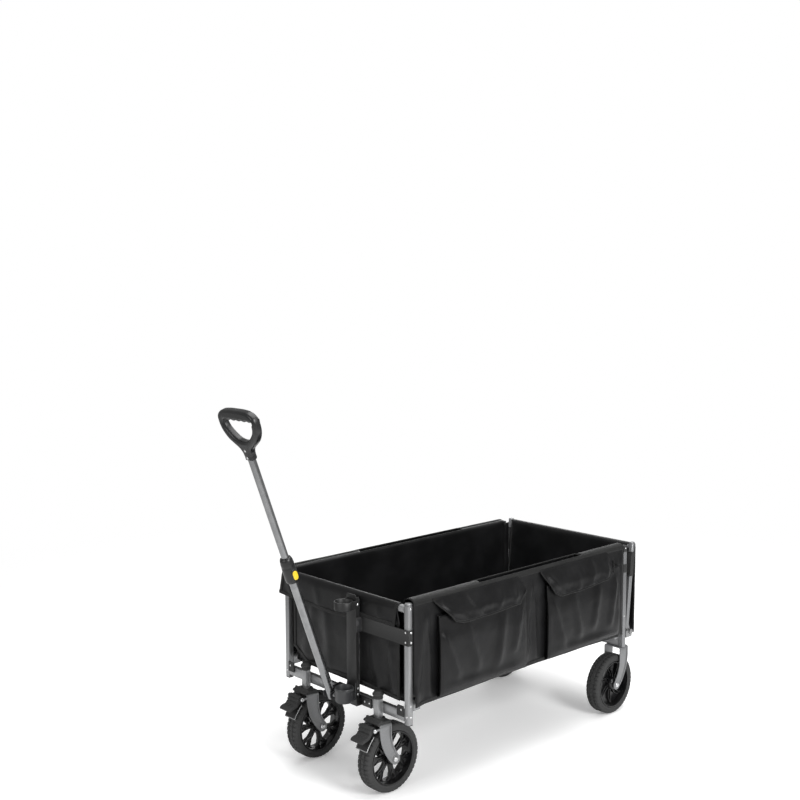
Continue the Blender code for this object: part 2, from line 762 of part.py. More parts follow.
def build_caster(side, caster, brake, wheel):
    """A swivel caster: stamped fork, stepped cover, axle, brake pedal and wheel."""
    x = SIDES[side] * CASTER_STEM_X
    top = CASTER_CROWN_TOP
    fork = add_fork(caster, f"caster_fork_{side}", x, FRONT_AXLE_Y, -1, top, True)
    caster.cut(fork, rod(STEM_DIAMETER / 2 + RUNNING, (x, STEM_Y, top - 0.010), (x, STEM_Y, top + 0.010)))
    wide = FORK_OUTER + 0.005
    caster.cut(fork, rod(PEDAL_PIN / 2 + RUNNING, (x - wide, *PEDAL_PIVOT), (x + wide, *PEDAL_PIVOT), 12))
    add_axle(caster, f"caster_axle_{side}", x, FRONT_AXLE_Y)

    base = top + SEAT
    ridge = CASTER_POST_FOOT - 0.0005
    front = STEM_Y - FORK_TOP_WIDTH / 2 - 0.006
    back = STEM_Y + FORK_TOP_WIDTH / 2
    side_view = [
        (back, base),
        (back, base + 0.003),
        (back - 0.004, base + 0.006),
        (STEM_Y - 0.009, base + 0.0065),
        (STEM_Y - 0.011, ridge),
        (STEM_Y - 0.016, ridge),
        (STEM_Y - 0.0175, base + 0.0065),
        (front + 0.003, base + 0.0060),
        (front, base + 0.0025),
        (front, base),
    ]
    half = FORK_OUTER - 0.001
    cover = prism(side_view, "X", x - half, x + half)
    cover = caster.add(f"caster_cover_{side}", soften(cover, 0.0015, 1), BLACK_PLASTIC)
    hole = BEARING_DIAMETER / 2 + RUNNING
    caster.cut(cover, rod(hole, (x, STEM_Y, base - 0.01), (x, STEM_Y, base + 0.02), 20))

    add_pedal(brake, f"brake_pedal_{side}", x)
    add_wheel(wheel, f"front_wheel_{side}")


def add_pedal(brake, name, x):
    """The brake: a stepped paddle on a cross pin, with a shoe plate that stands off the tyre."""
    axle = (FRONT_AXLE_Y, WHEEL_RADIUS)
    y, z = PEDAL_PIVOT
    shoe_in = WHEEL_RADIUS + SHOE_GAP
    shoe_out = shoe_in + SHOE_PLATE
    steps_down = [
        (0.0045, 0.0060),
        (-0.0030, 0.0075),
        (-0.0085, 0.0030),
        (-0.0075, 0.0005),
        (-0.0125, -0.0060),
        (-0.0110, -0.0085),
        (-0.0160, -0.0150),
        (-0.0340, -0.0190),
        (-0.0390, -0.0235),
        (-0.0360, -0.0275),
        (-0.0200, -0.0245),
    ]
    outline = [(y + a, z + b) for a, b in steps_down]
    outline += arc(axle, shoe_out, 180 - 39, 180 - 28, 2)
    outline += arc(axle, shoe_in, 180 - 28, 180 - 47, 4)
    outline += [(y + 0.006, z - 0.004)]
    half = PEDAL_WIDTH / 2
    pedal = brake.add(name, prism(outline, "X", x - half, x + half), BLACK_PLASTIC)
    seat = FORK_OUTER + SEAT
    pin = PEDAL_PIN / 2
    profile = [
        (0, -seat - 0.002),
        (PEDAL_PIN, -seat - 0.002),
        (PEDAL_PIN, -seat),
        (pin, -seat),
        (pin, seat),
        (PEDAL_PIN, seat),
        (PEDAL_PIN, seat + 0.002),
        (0, seat + 0.002),
    ]
    brake.join(pedal, turned(profile, 12, (1, 0, 0), (x, y, z)))


def build_rear_frame(rear):
    """Rear posts, cross tube, fixed forks and the brackets for arms and tailgate."""
    half = POST_SIDE / 2
    foot = REAR_CROWN_TOP + SEAT
    for side, way in SIDES.items():
        x = way * POST_X
        post = rear.add(
            f"rear_post_{side}",
            block((x - half, x + half), (REAR_Y - half, REAR_Y + half), (foot, POST_TOP), POST_EDGE, 2, "Z"),
            STEEL,
        )
        collar = half + COLLAR_WALL
        rear.join(
            post, block((x - collar, x + collar), (REAR_Y - collar, REAR_Y + collar), POST_COLLAR, 0.002, 1)
        )
        corner = half + 0.0006
        rear.join(
            post,
            block(
                (x - corner, x + corner),
                (REAR_Y - corner, REAR_Y + corner),
                (POST_TOP - 0.014, POST_TOP + POST_CAP),
                0.002,
                1,
            ),
        )
        add_fork(
            rear, f"rear_fork_{side}", way * REAR_WHEEL_X, REAR_AXLE_Y, 1, REAR_CROWN_TOP, False
        )
        add_axle(rear, f"rear_axle_{side}", way * REAR_WHEEL_X, REAR_AXLE_Y)
        add_rear_bracket(rear, f"rear_bracket_{side}", way)
    reach = POST_INNER - SEAT
    depth = CROSS_DEPTH / 2
    rear.add(
        "rear_cross_tube",
        block(
            (-reach, reach),
            (REAR_Y - depth, REAR_Y + depth),
            (foot, foot + CROSS_HEIGHT - 0.001),
            POST_EDGE,
            2,
            "X",
        ),
        STEEL,
    )


def add_rear_bracket(rear, name, way):
    """One bent plate on a rear post: a fork for the side arm in front and one for the tailgate behind."""
    front = REAR_Y - POST_SIDE / 2 - SEAT
    back = REAR_Y + POST_SIDE / 2 + SEAT
    steel = BRACKET_PLATE
    plate = POST_INNER - SEAT
    arm_out = REAR_ARM_X + ARM_THICKNESS / 2 + 0.001
    arm_in = REAR_ARM_X - ARM_THICKNESS / 2 - 0.001
    arm_tip = ARM_REAR_Y - 0.010
    gate_tip = GATE_PIVOT[0] + 0.009
    out = FRAME_WIDTH / 2 + FABRIC_SEAT
    plan = [
        (arm_in, arm_tip),
        (arm_in, front - steel),
        (arm_out, front - steel),
        (arm_out, arm_tip),
        (arm_out + steel, arm_tip),
        (arm_out + steel, front),
        (plate, front),
        (plate, back),
        (out + steel, back),
        (out + steel, gate_tip),
        (out, gate_tip),
        (out, back + steel),
        (plate, back + steel),
        (plate, gate_tip),
        (plate - steel, gate_tip),
        (plate - steel, front),
        (arm_in - steel, front),
        (arm_in - steel, arm_tip),
    ]
    low = GATE_PIVOT_HEIGHT - 0.0165
    high = ARM_PIVOT_HEIGHT + BRACKET_HEIGHT / 2
    bracket = rear.add(name, prism([(way * a, b) for a, b in plan], "Z", low, high), STEEL)
    # Above the tailgate's foot the bracket is open behind the post
    span = sorted((way * (plate + 0.0005), way * (out + steel + 0.01)))
    rear.cut(bracket, block(span, (back - 0.001, gate_tip + 0.01), (GATE_TUBE_FOOT - 0.006, high + 0.01)))
    pin_ends = (arm_in - steel / 2, arm_out + steel / 2)
    pin = [(way * across, ARM_REAR_Y, ARM_PIVOT_HEIGHT) for across in pin_ends]
    rear.join(bracket, rod(ARM_PIN / 2, *pin, 12))
    gate_pin = [(way * across, *GATE_PIVOT) for across in (plate - steel / 2, out + steel / 2)]
    rear.join(bracket, rod(GATE_PIN / 2, *gate_pin, 12))
    knob = [(way * across, *GATE_PIVOT) for across in (out + steel / 2, out + steel + 0.0045)]
    rear.join(bracket, rod(KNOB_DIAMETER / 2, *knob, 12))


def gate_line(height):
    """Where the middle of a leaning tailgate tube is at a height."""
    return GATE_FOOT_Y + (height - GATE_TUBE_FOOT) * math.tan(GATE_LEAN)


def build_tailgate(gate):
    """Two leaning uprights on pivots, a top tube and the fabric panel that hangs from it."""
    half = GATE_TUBE / 2
    for side, way in SIDES.items():
        x = way * POST_X

        def leaning(low, high, thick):
            return [
                (gate_line(low) - thick, low),
                (gate_line(low) + thick, low),
                (gate_line(high) + thick, high),
                (gate_line(high) - thick, high),
            ]

        shape = prism(leaning(GATE_TUBE_FOOT, GATE_TOP, half), "X", x - half, x + half)
        upright = gate.add(f"gate_upright_{side}", soften(shape, POST_EDGE), STEEL)
        sleeve = half + COLLAR_WALL
        shape = prism(leaning(*GATE_SLEEVE, sleeve), "X", x - POST_SIDE / 2, x + POST_SIDE / 2)
        gate.join(upright, soften(shape, 0.002))
        foot = gate_line(GATE_TUBE_FOOT)
        lug = arc(GATE_PIVOT, 0.0078, -160, 60, 8)
        lug += [(foot + half, GATE_TUBE_FOOT + 0.012), (foot - half + 0.001, GATE_TUBE_FOOT + 0.004)]
        gate.join(upright, prism(lug, "X", x - half + 0.001, x + half - 0.001))
        hole = GATE_PIN / 2 + RUNNING
        gate.cut(upright, rod(hole, (x - 0.02, *GATE_PIVOT), (x + 0.02, *GATE_PIVOT), 12))
    tube = GATE_TOP_TUBE / 2
    height = GATE_TOP - tube - 0.004
    reach = POST_X - half - SEAT
    y = gate_line(height)
    gate.add("gate_top_tube", rod(tube, (-reach, y, height), (reach, y, height)), STEEL)

    inside = reach - 0.0015
    outside = FRAME_WIDTH / 2
    top = height + tube + FABRIC_SEAT + FABRIC
    outer = gate_line(GATE_TOP) + half + 0.0012
    inner = tube + FABRIC_SEAT
    low = ARM_PIVOT_HEIGHT + BRACKET_HEIGHT / 2 + 0.002
    section = [
        (gate_line(low) - inner, low),
        (y - inner, height),
        (y - inner, top - FABRIC - 0.004),
        (y - inner + 0.004, top - FABRIC),
        (outer, top - FABRIC),
        (outer, TUB_SIDE_FOOT),
        (outer + FABRIC, TUB_SIDE_FOOT),
        (outer + FABRIC, top),
        (y - inner + 0.003, top),
        (y - inner - FABRIC, top - 0.005),
        (y - inner - FABRIC, height),
        (gate_line(low) - inner - FABRIC, low),
    ]
    panel = gate.add("bag_rear", prism(section, "X", -inside, inside), FABRIC_BLACK)
    apron_band = (TUB_SIDE_FOOT - 0.012, top + 0.001)
    gate.join(panel, block((-outside, outside), (outer + 0.0001, outer + FABRIC), apron_band))


def build_handle_bracket(root):
    """The cheeks on the cross tube that hold the pull handle, and their pin."""
    gap = LOWER_TUBE / 2 + 0.001
    cheek = 0.0025
    y, z = HANDLE_PIVOT.y, HANDLE_PIVOT.z
    back = CROSS_FRONT - SEAT
    plan = [
        (-gap - cheek, back),
        (-gap - cheek, y - 0.015),
        (-gap, y - 0.015),
        (-gap, back - 0.003),
        (gap, back - 0.003),
        (gap, y - 0.015),
        (gap + cheek, y - 0.015),
        (gap + cheek, back),
    ]
    low, high = CROSS_BOTTOM + 0.001, z + 0.0175
    bracket = root.add("handle_bracket", prism(plan, "Z", low, high), DARK_STEEL)
    cheeks = arc((y, z), 0.0145, -90, -210, 8)
    side_view = [(back + 0.01, high + 0.001), (back + 0.01, low - 0.001), *cheeks]
    root.change(bracket, prism(side_view[::-1], "X", -0.03, 0.03), "INTERSECT")
    hole = HANDLE_PIN / 2 + RUNNING
    root.cut(bracket, rod(hole, (-0.03, y, z), (0.03, y, z), 14))
    reach = gap + cheek + SEAT
    pin = HANDLE_PIN / 2
    profile = [
        (0, -reach - 0.002),
        (pin + 0.002, -reach - 0.002),
        (pin + 0.002, -reach),
        (pin, -reach),
        (pin, reach),
        (pin + 0.002, reach),
        (pin + 0.002, reach + 0.002),
        (0, reach + 0.002),
    ]
    root.add("handle_pin", turned(profile, 14, (1, 0, 0), HANDLE_PIVOT), ZINC)


def on_handle(along, across=0.0, out=0.0):
    """A point of the pull handle: so far along it, to the side, and out from its front face."""
    face = Vector((0.0, -HANDLE_WAY.z, HANDLE_WAY.y))
    return HANDLE_PIVOT + HANDLE_WAY * along + Vector((across, 0, 0)) + face * out


def build_handle(handle, inner, button):
    """The telescopic pull handle: lower tube, collar with its button, upper tube and grip."""
    outer = LOWER_TUBE / 2
    tail = -LOWER_TUBE_TAIL
    lower = handle.add(
        "handle_tube_lower",
        pipe(outer, outer - TUBE_WALL, on_handle(tail), on_handle(LOWER_TUBE_END)),
        STEEL,
    )
    hole = HANDLE_PIN / 2 + RUNNING
    handle.cut(lower, rod(hole, HANDLE_PIVOT - Vector((0.03, 0, 0)), HANDLE_PIVOT + Vector((0.03, 0, 0)), 14))

    radius = COLLAR_DIAMETER / 2
    step = COLLAR_SOCKET + SEAT
    slide = UPPER_TUBE / 2 + RUNNING
    profile = [
        (outer + SEAT, 0),
        (radius - 0.003, 0),
        (radius, 0.004),
        (radius, COLLAR_LENGTH - 0.010),
        (radius - 0.004, COLLAR_LENGTH),
        (slide, COLLAR_LENGTH),
        (slide, step),
        (outer + SEAT, step),
    ]
    start = on_handle(COLLAR_START)
    collar = handle.add("handle_collar", turned(profile, 16, HANDLE_WAY, start), DARK_PLASTIC)
    pocket_floor = outer + SEAT + 0.0008
    handle.cut(collar, button_shape(pocket_floor, radius + 0.01, RUNNING))
    shut = pocket_floor + RUNNING + BUTTON_TRAVEL
    button.add("handle_button", soften(button_shape(shut, radius + BUTTON_PROUD, 0.0), 0.0012), YELLOW)

    upper_start = COLLAR_START - UPPER_TUBE_TUCKED
    upper_end = GRIP_START + GRIP_SOCKET
    inner.add(
        "handle_tube_upper",
        pipe(UPPER_TUBE / 2, UPPER_TUBE / 2 - TUBE_WALL, on_handle(upper_start), on_handle(upper_end)),
        STEEL,
    )
    grip = inner.add("handle_grip", grip_shape(), DARK_PLASTIC)
    inner.cut(
        grip,
        rod(UPPER_TUBE / 2 + RUNNING, on_handle(GRIP_START - 0.01), on_handle(upper_end + SEAT), 16),
    )


def button_shape(low, high, grow):
    """A pill-shaped block standing out of the collar's right side."""
    half_long = BUTTON_LENGTH / 2 - BUTTON_WIDTH / 2
    radius = BUTTON_WIDTH / 2 + grow
    outline = arc((half_long, 0), radius, -90, 90, 6) + arc((-half_long, 0), radius, 90, 270, 6)
    centre = on_handle(BUTTON_AT)
    points = []
    for along, out in outline:
        point = on_handle(BUTTON_AT + along, 0.0, out) - centre
        points.append((centre.y + point.y, centre.z + point.z))
    return prism(points, "X", low, high)


def grip_shape():
    """A D-shaped grip with a rounded section and finger ridges, laid up in layers."""
    half = GRIP_WIDTH / 2
    neck = GRIP_NECK / 2
    right = [
        (neck, 0.000),
        (neck, 0.014),
        (neck + 0.008, 0.025),
        (half * 0.62, 0.037),
        (half * 0.90, 0.058),
        (half, 0.085),
        (half * 0.98, 0.112),
        (half * 0.82, GRIP_HEIGHT - 0.006),
        (half * 0.45, GRIP_HEIGHT - 0.0005),
    ]
    outside = right + [(0.0, GRIP_HEIGHT)] + [(-a, b) for a, b in reversed(right)]
    outer = smooth_loop(outside, 2)
    bar = GRIP_HEIGHT - GRIP_BAR
    reach = half * 0.62
    count = 4 * FINGER_RIDGES
    hole = []
    for i in range(count + 1):
        share = i / count
        wave = (1 - math.cos(math.tau * FINGER_RIDGES * share)) / 2
        hole.append((between(reach, -reach, share), bar - FINGER_RIDGE_DEPTH * (1 - wave)))
    low = [(-half * 0.70, bar - 0.012), (-half * 0.62, bar - 0.028), (-half * 0.32, bar - 0.046)]
    hole += low + [(0.0, bar - 0.054)] + [(-a, b) for a, b in reversed(low)]
    layers = [(-1.0, 0.0062), (-0.5, 0.0004), (0.5, 0.0004), (1.0, 0.0062)]
    shape = bmesh.new()
    rims = ([], [])
    for loop, way in ((outer, 1.0), (hole, 1.0)):
        rings = []
        for out, drawn_in in layers:
            ring = shrunk(loop, drawn_in * way)
            places = [on_handle(GRIP_START + s, x, out * GRIP_THICKNESS / 2) for x, s in ring]
            rings.append([shape.verts.new(place) for place in places])
        for below, above in zip(rings, rings[1:]):
            for i in range(len(below)):
                shape.faces.new((below[i - 1], below[i], above[i], above[i - 1]))
        for rim, ring in zip(rims, (rings[0], rings[-1])):
            rim += [shape.edges.get((ring[i - 1], ring[i])) for i in range(len(ring))]
    for rim in rims:
        bmesh.ops.triangle_fill(shape, use_beauty=True, use_dissolve=False, edges=rim)
    return shape


def build_pole_holder(root):
    """A column on the front of the frame with a ring and a cup for an upright pole, and its stay."""
    left, right = POLE_X - COLUMN_WIDTH / 2, POLE_X + COLUMN_WIDTH / 2
    plate = COLUMN_PLATE
    channel = [
        (left, COLUMN_FRONT),
        (right, COLUMN_FRONT),
        (right, COLUMN_BACK),
        (right - plate, COLUMN_BACK),
        (right - plate, COLUMN_FRONT + plate),
        (left + plate, COLUMN_FRONT + plate),
        (left + plate, COLUMN_BACK),
        (left, COLUMN_BACK),
    ]
    column = root.add("pole_column", prism(channel, "Z", *COLUMN_BAND), BLACK_STEEL)
    back = CROSS_FRONT - SEAT
    foot_band = (CROSS_BOTTOM, CROSS_BOTTOM + CROSS_HEIGHT - 0.001)
    root.join(column, block((left, right + COLUMN_WIDTH), (back - 0.003, back), foot_band))
    web_band = (CROSS_BOTTOM, COLUMN_BAND[0] + 0.004)
    root.join(column, block((left, right), (COLUMN_FRONT + 0.0005, back - 0.001), web_band))

    outer, inner = RING_OUTER / 2, RING_INNER / 2
    tab_in = COLUMN_WIDTH / 2 + SEAT
    tab_out = tab_in + 0.002
    end = COLUMN_BACK - POLE_Y - 0.002
    reach_out = math.degrees(math.acos(tab_out / outer))
    reach_in = math.degrees(math.acos(tab_in / outer))
    band = arc((0, 0), outer, -180 - reach_out, reach_out, 24)
    band += [(tab_out, end), (tab_in, end)]
    band += arc((0, 0), outer, reach_in, 180 - reach_in, 6)
    band += [(-tab_in, end), (-tab_out, end)]
    band = [(POLE_X + a, POLE_Y + b) for a, b in band]
    hole = circle((POLE_X, POLE_Y), inner, 24)
    root.add("pole_ring", prism(band, "Z", *RING_BAND, holes=[hole]), BLACK_STEEL)

    low, high = CUP_BAND
    cup = [
        (0, low),
        (outer - 0.006, low),
        (outer - 0.002, low + 0.002),
        (outer, low + 0.007),
        (outer, high),
        (inner, high),
        (inner, low + CUP_FLOOR),
        (0, low + CUP_FLOOR),
    ]
    root.add("pole_cup", turned(cup, 24, (0, 0, 1), (POLE_X, POLE_Y, 0)), DARK_PLASTIC)

    start = right + SEAT
    front = FRONT_FACE - SEAT
    out = FRAME_WIDTH / 2 + SEAT
    steel = STRAP_PLATE
    strap = [
        (start, COLUMN_FRONT + 0.001),
        (start + steel, COLUMN_FRONT + 0.001),
        (start + steel, front - steel - 0.001),
        (start + steel + 0.001, front - steel),
        (out + steel - 0.001, front - steel),
        (out + steel, front - steel + 0.001),
        (out + steel, TUB_FRONT - 0.0005),
        (out, TUB_FRONT - 0.0005),
        (out, front),
        (start + 0.001, front),
        (start, front - 0.001),
    ]
    root.add("stay_strap", prism(strap, "Z", *STRAP_BAND), BLACK_STEEL)


def side_wall(way):
    """The section of a side: an outer wall and a liner under one rounded hem, open below for the arms."""
    out = TUB_WALL_X
    return [
        (way * a, b)
        for a, b in (
            (out, TUB_SIDE_FOOT),
            (out + FABRIC, TUB_SIDE_FOOT),
            (out + FABRIC, TUB_TOP - 0.008),
            (out - 0.001, TUB_TOP),
            (TUB_LINER_X + 0.004, TUB_TOP),
            (TUB_LINER_X, TUB_TOP - 0.006),
            (TUB_LINER_X, FLOOR_TOP + FABRIC_SEAT),
            (TUB_LINER_X + FABRIC, FLOOR_TOP + FABRIC_SEAT),
            (TUB_LINER_X + FABRIC, TUB_TOP - 0.007),
            (TUB_LINER_X + 0.005, TUB_TOP - FABRIC),
            (out - 0.002, TUB_TOP - FABRIC),
            (out, TUB_TOP - 0.009),
        )
    ]


def build_tub(root):
    """The fabric tub: sides with pockets, front panel with its flap, floor and folding mat."""
    for side, way in SIDES.items():
        wall = root.add(f"bag_side_{side}", prism(side_wall(way), "Y", TUB_FRONT, TUB_REAR), FABRIC_BLACK)
        # The liner starts behind the top tube
        room = sorted((way * (TUB_LINER_X - 0.001), way * (TUB_WALL_X - 0.0002)))
        liner_front = FRONT_Y + TOP_TUBE_DIAMETER / 2 + FABRIC_SEAT
        root.cut(wall, block(room, (TUB_FRONT - 0.001, liner_front), (0.0, TUB_TOP - FABRIC - 0.0001)))
        # The folding arms rise through a slot in the hem
        gap = sorted((way * (TUB_LINER_X + 0.005), way * (TUB_WALL_X - 0.002)))
        root.cut(wall, block(gap, HEM_SLOT, (TUB_TOP - HEM_SLOT_DROP, TUB_TOP + 0.001)))
        face = TUB_WALL_X + FABRIC
        body = sorted((way * (face - 0.001), way * (face + POCKET_DEPTH)))
        cover = sorted((way * (face - 0.001), way * (face + FLAP_DEPTH)))
        for span, flap in zip(POCKET_SPANS, (FRONT_FLAP, REAR_FLAP)):
            root.join(wall, block(body, span, (POCKET_FOOT, TUB_TOP - POCKET_DROP), POCKET_ROUND))
            outline = [(along, TUB_TOP - drop) for along, drop in flap]
            root.join(wall, soften(prism(outline, "X", *cover), FLAP_ROUND, 1))

    outer = FRONT_Y - TOP_TUBE_DIAMETER / 2 - FABRIC_SEAT
    inner = FRONT_Y + TOP_TUBE_DIAMETER / 2 + FABRIC_SEAT
    top = TOP_TUBE_HEIGHT + TOP_TUBE_DIAMETER / 2 + FABRIC_SEAT
    low_face = FRONT_Y - FRONT_PANEL_GAP
    strap_high = STRAP_BAND[1]
    section = [
        (low_face - FABRIC, FRONT_PANEL_FOOT),
        (low_face, FRONT_PANEL_FOOT),
        (low_face, strap_high + 0.008),
        (outer, TOP_TUBE_HEIGHT - 0.008),
        (outer, top - 0.005),
        (outer + 0.005, top),
        (inner - 0.005, top),
        (inner, top - 0.005),
        (inner, FLOOR_TOP + FABRIC_SEAT),
        (inner + FABRIC, FLOOR_TOP + FABRIC_SEAT),
        (inner + FABRIC, top),
        (inner - 0.003, top + FABRIC),
        (outer + 0.003, top + FABRIC),
        (outer - FABRIC, top),
        (outer - FABRIC, TOP_TUBE_HEIGHT - 0.009),
        (low_face - FABRIC, strap_high + 0.007),
    ]
    half = FRONT_PANEL_HALF
    front = root.add("bag_front", prism(section, "X", -half, half), FABRIC_BLACK)
    flap_high = top + FABRIC
    flap = [
        (-TUB_WALL_X - 0.003, flap_high),
        (-FRAME_WIDTH / 2 - VALANCE_OVERHANG, TOP_TUBE_HEIGHT - 0.0559),
        (POLE_X - 0.087, TOP_TUBE_HEIGHT - 0.0669),
        (POLE_X - 0.022, TOP_TUBE_HEIGHT - 0.062),
        (POLE_X + COLUMN_WIDTH / 2, strap_high + 0.0015),
        (half - 0.0112, strap_high + 0.0025),
        (half, flap_high),
    ]
    root.join(front, prism(flap, "Y", outer - FABRIC - FRONT_FLAP_DEPTH, outer - FABRIC + 0.0001))

    floor_y = abs(inner + FABRIC) + 0.002
    across = TUB_LINER_X + FABRIC + 0.0005
    floor = block((-across, across), (-floor_y, floor_y - 0.0025), (TUB_FLOOR, FLOOR_TOP))
    root.add("bag_floor", floor, FABRIC_BLACK)
    low = FLOOR_TOP + FABRIC_SEAT
    high = low + MAT_THICKNESS
    front_end = inner + FABRIC + 0.002
    mat = [(front_end, low), (-front_end, low), (-front_end, high)]
    for share in (0.5, 0.0, -0.5):
        crease = -front_end * share
        mat += [(crease + MAT_CREASE, high), (crease, low + 0.0035), (crease - MAT_CREASE, high)]
    mat.append((front_end, high))
    across = TUB_LINER_X - 0.0075
    root.add("base_mat", prism(mat, "X", -across, across), FABRIC_BLACK)


def settle(root):
    """Stands the wagon with the middle of its footprint over the origin."""
    bpy.context.view_layer.update()
    graph = bpy.context.evaluated_depsgraph_get()
    corners = [
        piece.matrix_world @ Vector(corner)
        for piece in bpy.context.scene.objects
        if piece.type == "MESH" and not piece.hide_render
        for corner in piece.evaluated_get(graph).bound_box
    ]
    low = Vector(min(corner[i] for corner in corners) for i in range(3))
    high = Vector(max(corner[i] for corner in corners) for i in range(3))
    root.empty.location = -Vector(((low.x + high.x) / 2, (low.y + high.y) / 2, low.z))


for old in list(bpy.data.objects):
    bpy.data.objects.remove(old)

STEEL = finish("powder_coated_steel", (0.33, 0.34, 0.35), 0.42, 0.55)
DARK_STEEL = finish("dark_bracket", (0.07, 0.07, 0.075), 0.5, 0.3)
BLACK_STEEL = finish("black_steel", (0.018, 0.018, 0.02), 0.42, 0.2)
ZINC = finish("zinc", (0.72, 0.73, 0.74), 0.3, 0.95)
BLACK_PLASTIC = finish("black_plastic", (0.018, 0.018, 0.019), 0.45)
DARK_PLASTIC = finish("dark_plastic", (0.06, 0.062, 0.066), 0.5)
RUBBER = finish("tyre_rubber", (0.035, 0.035, 0.036), 0.75)
YELLOW = finish("button_yellow", (0.85, 0.60, 0.03), 0.4)
FABRIC_BLACK = finish("black_fabric", (0.02, 0.02, 0.022), 0.85)

root = Body("root", (0, 0, 0))
handle = Body("handle", HANDLE_PIVOT, root)
handle_inner = Body("handle_inner", on_handle(GRIP_START), handle)
handle_button = Body("handle_button", on_handle(BUTTON_AT, COLLAR_DIAMETER / 2), handle)
front_arms = Body("front_arms", (0, ARM_FRONT_Y, ARM_PIVOT_HEIGHT), root)
rear_arms = Body("rear_arms", (0, 0, ARM_MID_HEIGHT), front_arms)
rear_frame = Body("rear_frame", (0, ARM_REAR_Y, ARM_PIVOT_HEIGHT), rear_arms)
tailgate = Body("tailgate", (0, *GATE_PIVOT), rear_frame)

build_front_frame(root)
build_caster_posts(root)
build_arm_brackets(root)
build_side_arms(front_arms, rear_arms)
build_handle_bracket(root)
build_handle(handle, handle_inner, handle_button)
build_pole_holder(root)
build_tub(root)
build_rear_frame(rear_frame)
build_tailgate(tailgate)
for side, way in SIDES.items():
    stem_x = way * CASTER_STEM_X
    caster = Body(f"caster_{side}", (stem_x, STEM_Y, CASTER_CROWN_TOP), root)
    brake = Body(f"brake_{side}", (stem_x, *PEDAL_PIVOT), caster)
    front_wheel = Body(f"wheel_front_{side}", (stem_x, FRONT_AXLE_Y, WHEEL_RADIUS), caster)
    build_caster(side, caster, brake, front_wheel)
    rear_wheel = Body(f"wheel_rear_{side}", (way * REAR_WHEEL_X, REAR_AXLE_Y, WHEEL_RADIUS), rear_frame)
    add_wheel(rear_wheel, f"rear_wheel_{side}")
settle(root)
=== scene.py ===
"""Looks of a folding utility wagon: coatings, wheels, casters, handle, pole holder and the sewn fabric tub.

Lengths are in metres. Pieces are drawn from the middle of the frame: X across, Y from the handle at the front
to the tailgate, and Z up. publish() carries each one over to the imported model's own frame.
"""

import json
import logging
import math
from collections.abc import Callable, Iterable, Sequence
from dataclasses import dataclass
from enum import Enum

import bmesh
import bpy
from mathutils import Matrix, Vector, noise

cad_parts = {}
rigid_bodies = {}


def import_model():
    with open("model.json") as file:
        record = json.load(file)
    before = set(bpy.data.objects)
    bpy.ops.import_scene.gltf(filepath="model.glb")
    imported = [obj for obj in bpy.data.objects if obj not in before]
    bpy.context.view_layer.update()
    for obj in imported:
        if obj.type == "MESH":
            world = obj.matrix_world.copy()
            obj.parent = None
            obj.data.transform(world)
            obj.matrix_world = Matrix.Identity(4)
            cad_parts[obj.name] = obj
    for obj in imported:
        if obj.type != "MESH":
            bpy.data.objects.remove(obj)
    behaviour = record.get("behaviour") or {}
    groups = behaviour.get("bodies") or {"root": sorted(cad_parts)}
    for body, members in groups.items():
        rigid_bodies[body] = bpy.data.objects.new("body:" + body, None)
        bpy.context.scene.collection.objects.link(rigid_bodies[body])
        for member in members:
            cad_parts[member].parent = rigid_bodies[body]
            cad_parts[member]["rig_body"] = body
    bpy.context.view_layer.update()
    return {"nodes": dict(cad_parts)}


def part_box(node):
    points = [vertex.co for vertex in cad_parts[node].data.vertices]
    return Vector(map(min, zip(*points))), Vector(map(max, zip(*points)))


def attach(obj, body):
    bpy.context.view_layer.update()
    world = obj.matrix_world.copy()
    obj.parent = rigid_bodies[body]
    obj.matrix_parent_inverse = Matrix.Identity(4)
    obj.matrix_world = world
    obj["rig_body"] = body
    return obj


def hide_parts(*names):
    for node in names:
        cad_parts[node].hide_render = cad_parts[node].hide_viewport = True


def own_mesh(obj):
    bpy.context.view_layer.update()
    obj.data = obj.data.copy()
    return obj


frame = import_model()

LOG = logging.getLogger("wagon")

Point = tuple[float, float]
Spot = Sequence[float]
Loop = Sequence[Point]
Shape = bmesh.types.BMesh
Piece = bpy.types.Object
Socket = bpy.types.NodeSocket
Tree = bpy.types.NodeTree

SIDES = {"left": -1, "right": 1}
AXLE_HEIGHT = 0.09
FRONT_AXLE = -0.4293
FORK_TRAIL = 0.034
STEM_X, STEM_Y = 0.147, FRONT_AXLE - FORK_TRAIL
POST_X, POST_Y, POST_HALF = 0.242, 0.4465, 0.008
CROSS_FACE = -0.4573


def middle_of(node: str) -> Vector:
    """The middle of a CAD node's box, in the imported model's frame."""
    low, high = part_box(node)
    return (low + high) / 2


MIDDLE_Y = middle_of("caster_axle_left").y - FRONT_AXLE


# Finishes


